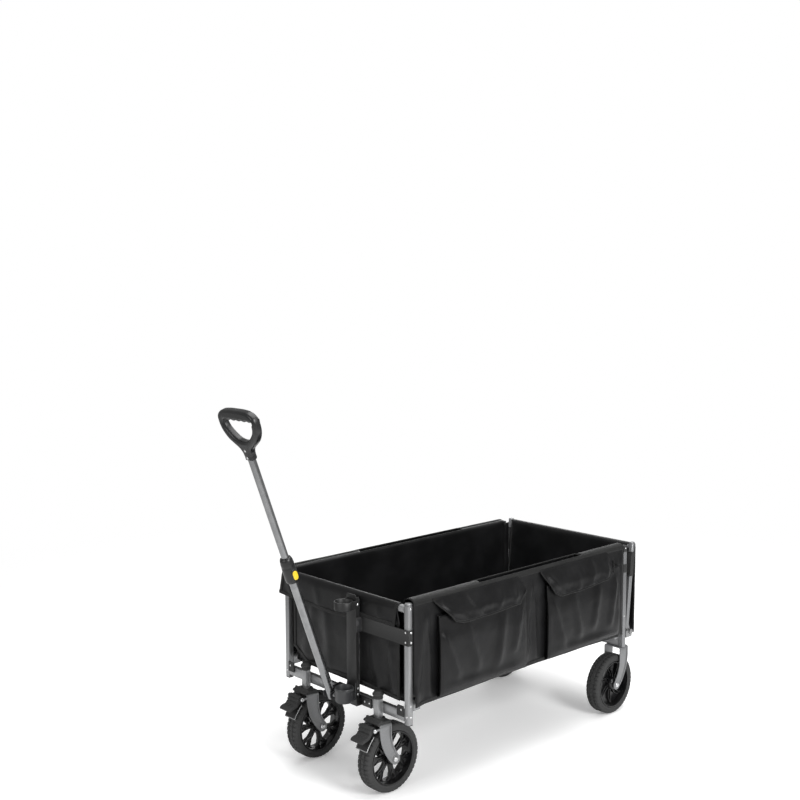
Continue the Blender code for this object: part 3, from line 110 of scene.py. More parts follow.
class Sketch:
    """A node tree with short ways to add and join nodes."""

    def __init__(self, tree: Tree) -> None:
        """Keeps the tree that the nodes go into."""
        self.tree = tree

    def node(self, kind: str, values: dict | None = None, **settings: object) -> bpy.types.Node:
        """Adds a node.

        Args:
            kind: The node's type name.
            values: Input names or numbers, with a plain value or the output that feeds each.
            settings: The node's own properties.

        Returns:
            The new node.
        """
        made = self.tree.nodes.new(kind)
        for name, setting in settings.items():
            setattr(made, name, setting)
        for name, value in (values or {}).items():
            self.feed(made.inputs[name], value)
        return made

    def feed(self, socket: Socket, value: object) -> None:
        """Gives an input a plain value, or joins an output to it."""
        if isinstance(value, Socket):
            self.tree.links.new(value, socket)
        else:
            socket.default_value = value

    def maths(self, operation: str, first: object, second: object = 0.0, third: object = 0.0) -> Socket:
        """One sum, and its output."""
        values = {0: first, 1: second, 2: third}
        return self.node("ShaderNodeMath", values, operation=operation).outputs[0]

    def place(self) -> Socket:
        """Where a point lies on its piece."""
        return self.node("ShaderNodeTexCoord").outputs["Object"]

    def clouds(self, place: Socket, scale: object, detail: float = 2.0) -> Socket:
        """Soft noise over a place."""
        return self.node("ShaderNodeTexNoise", {"Vector": place, "Scale": scale, "Detail": detail}).outputs[0]

    def spread(self, value: object, low: float, high: float) -> Socket:
        """A value stretched so that low gives 0 and high gives 1, and kept between them."""
        values = {"Value": value, "From Min": low, "From Max": high}
        return self.node("ShaderNodeMapRange", values, interpolation_type="SMOOTHSTEP").outputs[0]

    def mixed(self, share: object, first: object, second: object) -> Socket:
        """A colour between two colours."""
        values = {0: share, 6: first, 7: second}
        return self.node("ShaderNodeMix", values, data_type="RGBA").outputs[2]


def shader_group(name: str, inputs: dict[str, object], outputs: Sequence[str]) -> tuple[Sketch, dict, dict]:
    """Starts a shader node group.

    Args:
        name: The group's name.
        inputs: Input names, with a number or a colour that each starts from.
        outputs: Output names, of which Colour gives a colour and each other one a number.

    Returns:
        The sketch of the group, what it is given, and what takes its results.
    """
    tree = bpy.data.node_groups.new(name, "ShaderNodeTree")
    for label, start in inputs.items():
        kind = "NodeSocketColor" if isinstance(start, tuple) else "NodeSocketFloat"
        tree.interface.new_socket(label, in_out="INPUT", socket_type=kind).default_value = start
    for label in outputs:
        kind = "NodeSocketColor" if label == "Colour" else "NodeSocketFloat"
        tree.interface.new_socket(label, in_out="OUTPUT", socket_type=kind)
    sketch = Sketch(tree)
    return sketch, sketch.node("NodeGroupInput").outputs, sketch.node("NodeGroupOutput").inputs


def grain_group() -> Tree:
    """Fine pimples of a powder coat or a moulded skin, with slow changes of tone.

    Returns:
        The group.
    """
    sketch, given, result = shader_group("surface_grain", {"Size": 0.001}, ("Height", "Tone", "Fleck"))
    place = sketch.place()
    density = sketch.maths("DIVIDE", 1.0, given["Size"])
    fine = sketch.clouds(place, density, 3.0)
    cells = sketch.node("ShaderNodeTexVoronoi", {"Vector": place, "Scale": density}).outputs["Distance"]
    sketch.feed(result["Height"], sketch.maths("MULTIPLY_ADD", cells, -0.6, fine))
    sketch.feed(result["Tone"], sketch.spread(sketch.clouds(place, 9.0, 4.0), 0.3, 0.7))
    sketch.feed(result["Fleck"], sketch.spread(fine, 0.5, 0.72))
    return sketch.tree


def weave_group() -> Tree:
    """A plain weave on the cloth's own lengths, with slubs and slow changes of tone.

    Returns:
        The group.
    """
    sketch, given, result = shader_group("plain_weave", {"Pitch": 0.001}, ("Height", "Thread", "Tone"))
    laid = sketch.node("ShaderNodeUVMap").outputs["UV"]
    parts = sketch.node("ShaderNodeSeparateXYZ", {"Vector": laid}).outputs
    turns = sketch.maths("DIVIDE", math.tau, given["Pitch"])
    waves = [sketch.maths("SINE", sketch.maths("MULTIPLY", parts[i], turns)) for i in (0, 1)]
    over = sketch.maths("MULTIPLY_ADD", sketch.maths("MULTIPLY", *waves), 0.5, 0.5)
    slub = sketch.clouds(laid, 420.0)
    sketch.feed(result["Height"], sketch.maths("MULTIPLY_ADD", slub, 0.5, over))
    sketch.feed(result["Thread"], sketch.maths("MULTIPLY", over, slub))
    sketch.feed(result["Tone"], sketch.spread(sketch.clouds(laid, 11.0, 5.0), 0.35, 0.68))
    return sketch.tree


def film_group(name: str, film: str, start: tuple, amount: float, cover: Callable[[Sketch], Socket]) -> Tree:
    """A film of another colour over a colour.

    Args:
        name: The group's name.
        film: The name of the input that takes the film's colour.
        start: The film's colour to start from.
        amount: How much of it there is, to start from.
        cover: Draws where the film lies.

    Returns:
        The group.
    """
    inputs = {"Colour": (0.5, 0.5, 0.5, 1.0), film: start, "Amount": amount}
    sketch, given, result = shader_group(name, inputs, ("Colour", "Mask"))
    mask = sketch.maths("MULTIPLY", cover(sketch), given["Amount"])
    sketch.feed(result["Mask"], mask)
    sketch.feed(result["Colour"], sketch.mixed(mask, given["Colour"], given[film]))
    return sketch.tree


def worn_and_highlit_edges(sketch: Sketch) -> Socket:
    """Where edges and small scuffs are worn bare, and where the edges of glossy plastic get a painted
    highlight.
    """
    edges = sketch.spread(sketch.node("ShaderNodeNewGeometry").outputs["Pointiness"], 0.57, 0.7)
    patches = sketch.spread(sketch.clouds(sketch.place(), 55.0, 4.0), 0.42, 0.62)
    return sketch.maths("MULTIPLY", edges, patches)


def settled_dust(sketch: Sketch) -> Socket:
    """Where dust lies, thinning out with height above the ground.

    Args:
        sketch: The group that it is drawn in.

    Returns:
        How much dust there is, from 0 to about 1.
    """
    place = sketch.place()
    height = sketch.node("ShaderNodeSeparateXYZ", {"Vector": place}).outputs["Z"]
    low = sketch.maths("SUBTRACT", 1.0, sketch.spread(height, 0.02, 0.34))
    patches = sketch.spread(sketch.clouds(place, 28.0, 5.0), 0.35, 0.75)
    return sketch.maths("MULTIPLY", sketch.maths("ADD", low, 0.15), patches)


GRAIN, WEAVE = grain_group(), weave_group()
# Lighter convex edges: real wear on coatings and metal, and a painted highlight on the edges of glossy
# plastic
WEAR_AND_HIGHLIGHT = film_group("edge_wear_and_highlight", "Worn", (0.8, 0.8, 0.8, 1.0), 0.5, worn_and_highlit_edges)
DUST = film_group("ground_dust", "Dust", (0.3, 0.29, 0.27, 1.0), 0.2, settled_dust)


class Dressing:
    """A material being put together around one Principled shader."""

    def __init__(self, name: str) -> None:
        """Starts a material of this name.

        Args:
            name: The material's name.
        """
        self.material = bpy.data.materials.new(name)
        self.material.use_nodes = True
        self.sketch = Sketch(self.material.node_tree)
        self.shader = self.material.node_tree.nodes["Principled BSDF"]

    def group(self, tree: Tree, **values: object) -> bpy.types.NodeOutputs:
        """Places a shared group.

        Args:
            tree: The group.
            values: What its inputs are given.

        Returns:
            Its outputs.
        """
        return self.sketch.node("ShaderNodeGroup", values, node_tree=tree).outputs

    def set(self, **values: object) -> None:
        """Feeds the shader's sockets, named with underscores for spaces."""
        for name, value in values.items():
            self.sketch.feed(self.shader.inputs[name.replace("_", " ")], value)

    def raised(self, height: object, depth: float) -> None:
        """Feeds a height into the shader's normal."""
        values = {"Height": height, "Distance": depth, "Strength": 1.0}
        self.set(Normal=self.sketch.node("ShaderNodeBump", values).outputs[0])


def shade(colour: Spot, factor: float = 1.0) -> tuple[float, float, float, float]:
    """A lighter or darker shade of a colour, with its alpha."""
    return (*(min(1.0, part * factor) for part in colour), 1.0)


@dataclass(frozen=True)
class HardFinish:
    """A coated, plated or moulded surface."""

    slot: str
    colour: tuple[float, float, float]
    # Colour of the lighter edges: bare metal where a coating is worn through, a painted highlight on glossy
    # plastic
    worn: tuple[float, float, float]
    roughness: float
    metallic: float = 0.0
    grain: float = 0.0012
    depth: float = 0.00006
    fleck: float = 0.0
    wear_and_highlight: float = 0.5
    dust: float = 0.1
    coat: float = 0.0

    def material(self, name: str) -> bpy.types.Material:
        """The finish as a procedural material.

        Args:
            name: The material's name.

        Returns:
            The material.
        """
        made = Dressing(name)
        grain = made.group(GRAIN, Size=self.grain)
        toned = made.sketch.mixed(grain["Tone"], shade(self.colour, 0.93), shade(self.colour, 1.05))
        flecks = made.sketch.maths("MULTIPLY", grain["Fleck"], self.fleck)
        flecked = made.sketch.mixed(flecks, toned, shade(self.colour, 2.2))
        # Lighter edges: real wear on coatings, and a painted highlight along the edges of glossy plastic
        worn_and_highlit = made.group(WEAR_AND_HIGHLIGHT, Colour=flecked, Worn=shade(self.worn), Amount=self.wear_and_highlight)
        dusty = made.group(DUST, Colour=worn_and_highlit["Colour"], Amount=self.dust)
        rough = made.sketch.maths("MULTIPLY_ADD", grain["Tone"], 0.1, self.roughness - 0.05)
        made.set(
            Base_Color=dusty["Colour"],
            Roughness=made.sketch.maths("MULTIPLY_ADD", dusty["Mask"], 0.5, rough),
            Metallic=self.metallic,
            Coat_Weight=self.coat,
            Coat_Roughness=0.12,
        )
        made.raised(grain["Height"], self.depth)
        return made.material


@dataclass(frozen=True)
class ClothFinish:
    """A woven fabric, tape or thread."""

    slot: str
    colour: tuple[float, float, float]
    pitch: float
    roughness: float
    depth: float = 0.00006
    lint: float = 0.35
    sheen: float = 0.008

    def material(self, name: str) -> bpy.types.Material:
        """The finish as a procedural material.

        Args:
            name: The material's name.

        Returns:
            The material.
        """
        made = Dressing(name)
        weave = made.group(WEAVE, Pitch=self.pitch)
        toned = made.sketch.mixed(weave["Tone"], shade(self.colour, 0.7), shade(self.colour, 1.35))
        thread = made.sketch.maths("MULTIPLY", weave["Thread"], self.lint)
        woven = made.sketch.mixed(thread, toned, shade(self.colour, 2.6))
        dusty = made.group(DUST, Colour=woven, Dust=(0.12, 0.118, 0.112, 1.0), Amount=0.05)
        made.set(
            Base_Color=dusty["Colour"],
            Roughness=made.sketch.maths("MULTIPLY_ADD", weave["Tone"], 0.1, self.roughness - 0.05),
            Sheen_Weight=self.sheen,
            Sheen_Roughness=0.4,
            Sheen_Tint=shade((0.75, 0.76, 0.78)),
            Specular_IOR_Level=0.22,
        )
        made.raised(weave["Height"], self.depth)
        return made.material


BARE_STEEL = (0.75, 0.75, 0.74)
PALE_STEEL = (0.8, 0.8, 0.79)
BRIGHT_ZINC = (0.85, 0.85, 0.84)
GREY_SKIN = (0.06, 0.06, 0.062)


class Finish(Enum):
    """The wagon's finishes."""

    SILVER = HardFinish("frame_steel", (0.27, 0.273, 0.277), BARE_STEEL, 0.36, 0.66, 0.0015, 0.0001, 0.26)
    TUBE = HardFinish("frame_steel", (0.235, 0.238, 0.242), BARE_STEEL, 0.2, 0.92, 0.0015, 0.00005, 0.12)
    FORK_GREY = HardFinish("frame_steel", (0.215, 0.218, 0.223), PALE_STEEL, 0.36, 0.55, 0.0013, 8e-5, 0.24)
    BRIGHT = HardFinish("zinc", (0.66, 0.665, 0.67), BRIGHT_ZINC, 0.26, 0.95, 0.001, 0.00002)
    BLACK_STEEL = HardFinish(
        "black_steel", (0.007, 0.007, 0.0075), (0.16, 0.16, 0.16), 0.34, 0.1, 0.0012, 0.00004, 0.1
    )
    DARK_BRACKET = HardFinish("dark_steel", (0.035, 0.035, 0.037), (0.22, 0.22, 0.22), 0.4, 0.3)
    BLACK_PLASTIC = HardFinish("black_plastic", (0.006, 0.006, 0.0065), GREY_SKIN, 0.42, dust=0.04)
    # The pale edge colour at a high amount paints highlights on the hub's ribs and rim
    WHEEL_PLASTIC = HardFinish(
        "black_plastic", (0.004, 0.004, 0.0045), (0.2, 0.2, 0.205), 0.26, wear_and_highlight=0.9, dust=0.02
    )
    CUP_PLASTIC = HardFinish("dark_plastic", (0.026, 0.027, 0.029), (0.12, 0.12, 0.125), 0.42)
    # The lighter edge colour paints the highlight on the grip's rims
    GRIP_PLASTIC = HardFinish("dark_plastic", (0.009, 0.0093, 0.0098), (0.06, 0.06, 0.063), 0.34, dust=0.0)
    RUBBER = HardFinish(
        "rubber", (0.017, 0.017, 0.0175), (0.075, 0.073, 0.07), 0.62, 0.0, 0.0022, 0.00012, 0.05, 0.9, 0.25
    )
    YELLOW = HardFinish("yellow", (0.82, 0.56, 0.025), (0.9, 0.72, 0.2), 0.34, wear_and_highlight=0.3, dust=0.0, coat=0.25)
    SHELL = ClothFinish("fabric", (0.0044, 0.0044, 0.0047), 0.0011, 0.38)
    LINER = ClothFinish("fabric", (0.0046, 0.0046, 0.0049), 0.0011, 0.6, lint=0.25)
    BINDING = ClothFinish("fabric", (0.01, 0.01, 0.0098), 0.0018, 0.62, 0.0002, sheen=0.05)
    THREAD = ClothFinish("fabric", (0.04, 0.04, 0.041), 0.0004, 0.6, 0.00005)

    @property
    def material(self) -> bpy.types.Material:
        """The finish's material, made the first time that it is asked for."""
        name = self.name.lower()
        return bpy.data.materials.get(name) or self.value.material(name)


# Shapes


def eased(share: float) -> float:
    """A share from 0 to 1 with a soft start and end."""
    share = min(1.0, max(0.0, share))
    return share * share * (3 - 2 * share)


def mix(first: float, second: float, share: float) -> float:
    """The value that lies a share of the way between two."""
    return first + (second - first) * share


def through(stops: Loop, place: float, soft: bool = True) -> float:
    """The height at a place of a line through (place, height) stops.

    Args:
        stops: The stops, in the order of their places.
        place: The place that is asked for.
        soft: Whether the line eases out of and into each stop, or runs straight.

    Returns:
        The height there, or that of the nearer end.
    """
    if place <= stops[0][0]:
        return stops[0][1]
    for (start, low), (end, high) in zip(stops, stops[1:]):
        if place <= end:
            share = (place - start) / (end - start)
            return mix(low, high, eased(share) if soft else share)
    return stops[-1][1]


def spaced(low: float, high: float, count: int) -> list[float]:
    """Evenly spaced values, both ends included."""
    return [mix(low, high, i / (count - 1)) for i in range(count)]


def filled(stops: Spot, gap: float) -> list[float]:
    """Values that include every stop, with even steps of about a gap between them.

    Args:
        stops: The values that have to be there, in order.
        gap: The step that is aimed at.

    Returns:
        All the values.
    """
    values = [stops[0]]
    for low, high in zip(stops, stops[1:]):
        count = max(1, round((high - low) / gap))
        values += [mix(low, high, (i + 1) / count) for i in range(count)]
    return values


def crumple(u: float, v: float, size: float, height: float, seed: float) -> float:
    """A small unevenness of cloth at a place on it."""
    return noise.noise(Vector((u / size, v / size, seed))) * height


def arc(centre: Point, radius: float, start: float, end: float, steps: int) -> list[Point]:
    """Points on an arc, from one angle in degrees to another."""
    angles = [math.radians(mix(start, end, i / steps)) for i in range(steps + 1)]
    return [(centre[0] + radius * math.cos(a), centre[1] + radius * math.sin(a)) for a in angles]


def circle(centre: Point, radius: float, steps: int = 32) -> list[Point]:
    """Points round a circle."""
    return arc(centre, radius, 0, 360, steps)[:-1]


def shifted(loop: Loop, a: float, b: float) -> list[Point]:
    """An outline moved to another place."""
    return [(a + u, b + v) for u, v in loop]


def mirrored(points: Loop) -> list[Point]:
    """Points, and then backwards their images on the other side of the first number's axis."""
    return [*points, *((a, -b) for a, b in reversed(points))]


def smooth_loop(points: Loop, steps: int) -> list[Point]:
    """A smooth closed curve through a few points.

    Args:
        points: The points that it runs through.
        steps: How many points it has for each of them.

    Returns:
        The curve's points.
    """
    loop = []
    for i in range(len(points)):
        a, b, c, d = (Vector(points[(i + k) % len(points)]) for k in (-1, 0, 1, 2))
        for k in range(steps):
            t = k / steps
            bend = 2 * b + (c - a) * t + (2 * a - 5 * b + 4 * c - d) * t**2 + (3 * b - a - 3 * c + d) * t**3
            loop.append(tuple(bend / 2))
    return loop


def rounded_rectangle(width: float, height: float, radius: float, steps: int = 5) -> list[Point]:
    """A rectangle about the origin with round corners."""
    a, b = width / 2 - radius, height / 2 - radius
    corners = ((a, b, 0), (-a, b, 90), (-a, -b, 180), (a, -b, 270))
    return [point for x, y, start in corners for point in arc((x, y), radius, start, start + 90, steps)]


def lathe(profile: Loop, steps: int, axis: Spot, centre: Spot) -> Shape:
    """Turns a closed profile of (radius, height) points about an axis.

    Args:
        profile: The section, closed from its last point to its first.
        steps: How many facets go round.
        axis: The direction of the axis.
        centre: Where height 0 lies on the axis.

    Returns:
        The closed shape.
    """
    shape = bmesh.new()
    rings = []
    for i in range(steps):
        angle = math.tau * i / steps
        way = (math.cos(angle), math.sin(angle))
        rings.append([shape.verts.new((r * way[0], r * way[1], h)) for r, h in profile])
    for i in range(steps):
        for k in range(len(profile)):
            shape.faces.new((rings[i - 1][k - 1], rings[i][k - 1], rings[i][k], rings[i - 1][k]))
    bmesh.ops.remove_doubles(shape, verts=shape.verts, dist=1e-6)
    bmesh.ops.dissolve_degenerate(shape, edges=shape.edges, dist=1e-7)
    onto = Vector((0, 0, 1)).rotation_difference(Vector(axis)).to_matrix().to_4x4()
    bmesh.ops.transform(shape, matrix=Matrix.Translation(centre) @ onto, verts=shape.verts)
    return shape


def domed(radius: float, height: float, centre: Spot, axis: Spot, steps: int = 20) -> Shape:
    """A round rivet head standing on a surface."""
    turns = [math.radians(angle) for angle in (0, 30, 55, 75, 90)]
    rise = [(radius * math.sin(turn), height * math.cos(turn)) for turn in turns]
    return lathe([*rise, (radius, -0.0004), (0, -0.0004)], steps, axis, centre)


# Where a plate's own X, Y and thickness go when it faces along each axis
PLATE_TURNS = {
    "X": Matrix(((0, 0, 1), (1, 0, 0), (0, 1, 0))),
    "Y": Matrix(((1, 0, 0), (0, 0, 1), (0, 1, 0))),
    "Z": Matrix.Identity(3),
}


def plate(loops: Sequence[Loop], axis: str, low: float, high: float, edge: float, steps: int = 2) -> Shape:
    """A flat plate with rounded edges.

    Args:
        loops: Its outline, then the outlines of its holes.
        axis: The axis that it faces along.
        low: Where it starts on that axis.
        high: Where it ends.
        edge: The radius of its edges.
        steps: How many facets each edge has.

    Returns:
        The closed shape.
    """
    low, high = min(low, high), max(low, high)
    curve = bpy.data.curves.new("outline", "CURVE")
    curve.dimensions = "2D"
    curve.fill_mode = "BOTH"
    curve.extrude = (high - low) / 2 - edge
    curve.bevel_depth = edge
    curve.bevel_resolution = steps
    curve.offset = -edge
    for loop in loops:
        spline = curve.splines.new("POLY")
        spline.points.add(len(loop) - 1)
        for point, (a, b) in zip(spline.points, loop):
            point.co = (a, b, 0, 1)
        spline.use_cyclic_u = True
    carrier = bpy.data.objects.new("outline", curve)
    bpy.context.scene.collection.objects.link(carrier)
    solid = bpy.data.meshes.new_from_object(carrier.evaluated_get(bpy.context.evaluated_depsgraph_get()))
    bpy.data.objects.remove(carrier)
    shape = bmesh.new()
    shape.from_mesh(solid)
    bpy.data.meshes.remove(solid)
    bmesh.ops.remove_doubles(shape, verts=shape.verts, dist=1e-6)
    bmesh.ops.translate(shape, vec=(0, 0, (low + high) / 2), verts=shape.verts)
    bmesh.ops.transform(shape, matrix=PLATE_TURNS[axis].to_4x4(), verts=shape.verts)
    return shape


def box(x: Point, y: Point, z: Point, edge: float) -> Shape:
    """A rectangular block between pairs of limits, with rounded edges."""
    (x0, x1), (y0, y1) = sorted(x), sorted(y)
    return plate([[(x0, y0), (x1, y0), (x1, y1), (x0, y1)]], "Z", *z, edge)


def gathered(shapes: Iterable[Shape]) -> Shape:
    """Several shapes as one.

    Args:
        shapes: The shapes, which are used up.

    Returns:
        The one shape.
    """
    whole = bmesh.new()
    for shape in shapes:
        carrier = bpy.data.meshes.new("part")
        shape.to_mesh(carrier)
        shape.free()
        whole.from_mesh(carrier)
        bpy.data.meshes.remove(carrier)
    return whole


def moved(shape: Shape, x: float = 0.0, y: float = 0.0, z: float = 0.0) -> Shape:
    """A shape shifted along the axes."""
    bmesh.ops.translate(shape, vec=(x, y, z), verts=shape.verts)
    return shape


def sheet(
    columns: Spot, rows: Spot, place: Callable[[float, float], Vector], skip: Callable | None = None
) -> Shape:
    """A sheet of cloth through a grid of places, with its lengths in metres as its UV map.

    Args:
        columns: The values of the first measure, one for each line of points.
        rows: The values of the second measure, one for each point of a line.
        place: Where the point of two measures lies.
        skip: Says of two measures that the cloth has a slit there.

    Returns:
        The open sheet.
    """
    shape = bmesh.new()
    places = [[Vector(place(u, v)) for v in rows] for u in columns]
    grid = [[shape.verts.new(point) for point in line] for line in places]
    laid = {}
    for i, line in enumerate(places):
        for j, point in enumerate(line):
            across = laid[i - 1, j][0] + (point - places[i - 1][j]).length if i else 0.0
            along = laid[i, j - 1][1] + (point - line[j - 1]).length if j else 0.0
            laid[i, j] = (across, along)
    uv = shape.loops.layers.uv.new("lengths")
    for i in range(len(columns) - 1):
        for j in range(len(rows) - 1):
            if skip and skip((columns[i] + columns[i + 1]) / 2, (rows[j] + rows[j + 1]) / 2):
                continue
            corners = ((i, j), (i + 1, j), (i + 1, j + 1), (i, j + 1))
            face = shape.faces.new([grid[a][b] for a, b in corners])
            for loop, corner in zip(face.loops, corners):
                loop[uv].uv = laid[corner]
    bmesh.ops.delete(shape, geom=[v for v in shape.verts if not v.link_faces], context="VERTS")
    return shape


def strip(path: Sequence[Spot], section: Loop, out: Spot, closed: bool = False) -> Shape:
    """A tape or a cord laid along a path.

    Args:
        path: The points that it follows.
        section: Its outline as (sideways, outwards) points.
        out: The direction that counts as outwards.
        closed: Whether the path joins up.

    Returns:
        The closed shape, with its lengths as its UV map.
    """
    shape = bmesh.new()
    uv = shape.loops.layers.uv.new("lengths")
    points = [Vector(p) for p in path]
    rings, run = [], [0.0]
    for i, point in enumerate(points):
        ahead = points[(i + 1) % len(points)] if closed else points[min(i + 1, len(points) - 1)]
        behind = points[i - 1] if closed or i else point
        along = (ahead - behind).normalized()
        side = along.cross(Vector(out)).normalized()
        lift = side.cross(along)
        rings.append([shape.verts.new(point + side * a + lift * b) for a, b in section])
        run.append(run[-1] + (ahead - point).length)
    count = len(section)
    for i in range(0 if closed else 1, len(rings)):
        for k in range(count):
            face = shape.faces.new((rings[i - 1][k - 1], rings[i - 1][k], rings[i][k], rings[i][k - 1]))
            laid = ((run[i], k - 1), (run[i], k), (run[i + 1], k), (run[i + 1], k - 1))
            for loop, (a, b) in zip(face.loops, laid):
                loop[uv].uv = (a, b * 0.003)
    if not closed:
        for ring in (rings[0], rings[-1]):
            shape.faces.new(ring)
    return shape


def evened(path: Sequence[Spot], gap: float) -> list[Vector]:
    """Points an even gap apart along a path.

    Args:
        path: The points of the path.
        gap: The distance from one point to the next.

    Returns:
        The points, from the path's start on.
    """
    points = [Vector(p) for p in path]
    kept, left = [points[0]], gap
    for start, end in zip(points, points[1:]):
        length = (end - start).length
        reached = left
        while reached <= length:
            kept.append(start.lerp(end, reached / length))
            reached += gap
        left = reached - length
    return kept


def stitches(path: Sequence[Spot], out: Spot, stitch: float = 0.0042, gap: float = 0.0016) -> Shape:
    """A row of sewn stitches along a path on cloth.

    Args:
        path: The points that the seam follows.
        out: The direction that faces away from the cloth.
        stitch: The length of one stitch.
        gap: The cloth that shows between two.

    Returns:
        The row as one shape.
    """
    section = [(0.00045, 0.0), (0.0002, 0.0006), (-0.0002, 0.0006), (-0.00045, 0.0)]
    shape = bmesh.new()
    uv = shape.loops.layers.uv.new("lengths")
    lift = Vector(out).normalized()
    places = evened(path, stitch + gap)
    for start, end in zip(places, places[1:]):
        along = (end - start).normalized()
        side = along.cross(lift).normalized()
        rings = []
        for share, width in ((0.0, 0.35), (0.25, 1.0), (0.75, 1.0), (1.0, 0.35)):
            point = start + along * stitch * share
            rings.append([shape.verts.new(point + side * a * width + lift * b * width) for a, b in section])
        for below, above in zip(rings, rings[1:]):
            for k in range(4):
                face = shape.faces.new((below[k - 1], below[k], above[k], above[k - 1]))
                for loop in face.loops:
                    loop[uv].uv = (loop.vert.co.y, loop.vert.co.z)
        shape.faces.new(rings[0])
        shape.faces.new(rings[-1])
    return shape


# Putting pieces into the scene


def publish(
    name: str,
    shape: Shape,
    finish: Finish,
    body: str,
    replaces: Iterable[str] = (),
    sharp: float = 40.0,
    thick: float = 0.0,
    placed: bool = False,
) -> Piece:
    """Makes a shape into a piece of the wagon.

    Args:
        name: The piece's name.
        shape: Its shape, which is used up.
        finish: Its finish.
        body: The CAD body that carries it.
        replaces: The CAD nodes that it stands for.
        sharp: The angle in degrees above which an edge stays sharp.
        thick: The thickness given to an open sheet.
        placed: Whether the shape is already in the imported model's frame.

    Returns:
        The piece.
    """
    if not placed:
        moved(shape, y=MIDDLE_Y)
    if not thick:
        bmesh.ops.recalc_face_normals(shape, faces=shape.faces)
    mesh = bpy.data.meshes.new(name)
    shape.to_mesh(mesh)
    shape.free()
    mesh.materials.append(finish.material)
    mesh.shade_smooth()
    mesh.set_sharp_from_angle(angle=math.radians(sharp))
    piece = bpy.data.objects.new(name, mesh)
    bpy.context.scene.collection.objects.link(piece)
    if thick:
        solid = piece.modifiers.new("thickness", "SOLIDIFY")
        solid.thickness = thick
        solid.offset = 0.0
    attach(piece, body)
    if replaces:
        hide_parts(*replaces)
    LOG.info("%s: %d faces on %s", name, len(mesh.polygons), body)
    return piece


def coat(node: str, finish: Finish, edge: float) -> Piece:
    """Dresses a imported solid: a cleaned copy with softened edges stands for it.

    Args:
        node: The CAD node.
        finish: Its finish.
        edge: The width of its softened edges.

    Returns:
        The piece that stands for the node.
    """
    source = frame["nodes"][node]
    shape = bmesh.new()
    shape.from_mesh(source.data)
    bmesh.ops.remove_doubles(shape, verts=shape.verts, dist=2e-6)
    bmesh.ops.recalc_face_normals(shape, faces=shape.faces)
    flat, hard_from = math.radians(1.0), math.radians(36)
    bmesh.ops.dissolve_limit(shape, angle_limit=flat, verts=shape.verts, edges=shape.edges)
    hard = [e for e in shape.edges if len(e.link_faces) == 2 and e.calc_face_angle(0.0) > hard_from]
    bmesh.ops.bevel(
        shape, geom=hard, offset=edge, segments=2, profile=0.6, affect="EDGES", clamp_overlap=True
    )
    return publish(f"{node}_coated", shape, finish, source["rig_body"], [node], placed=True)


# The frame and its fixings


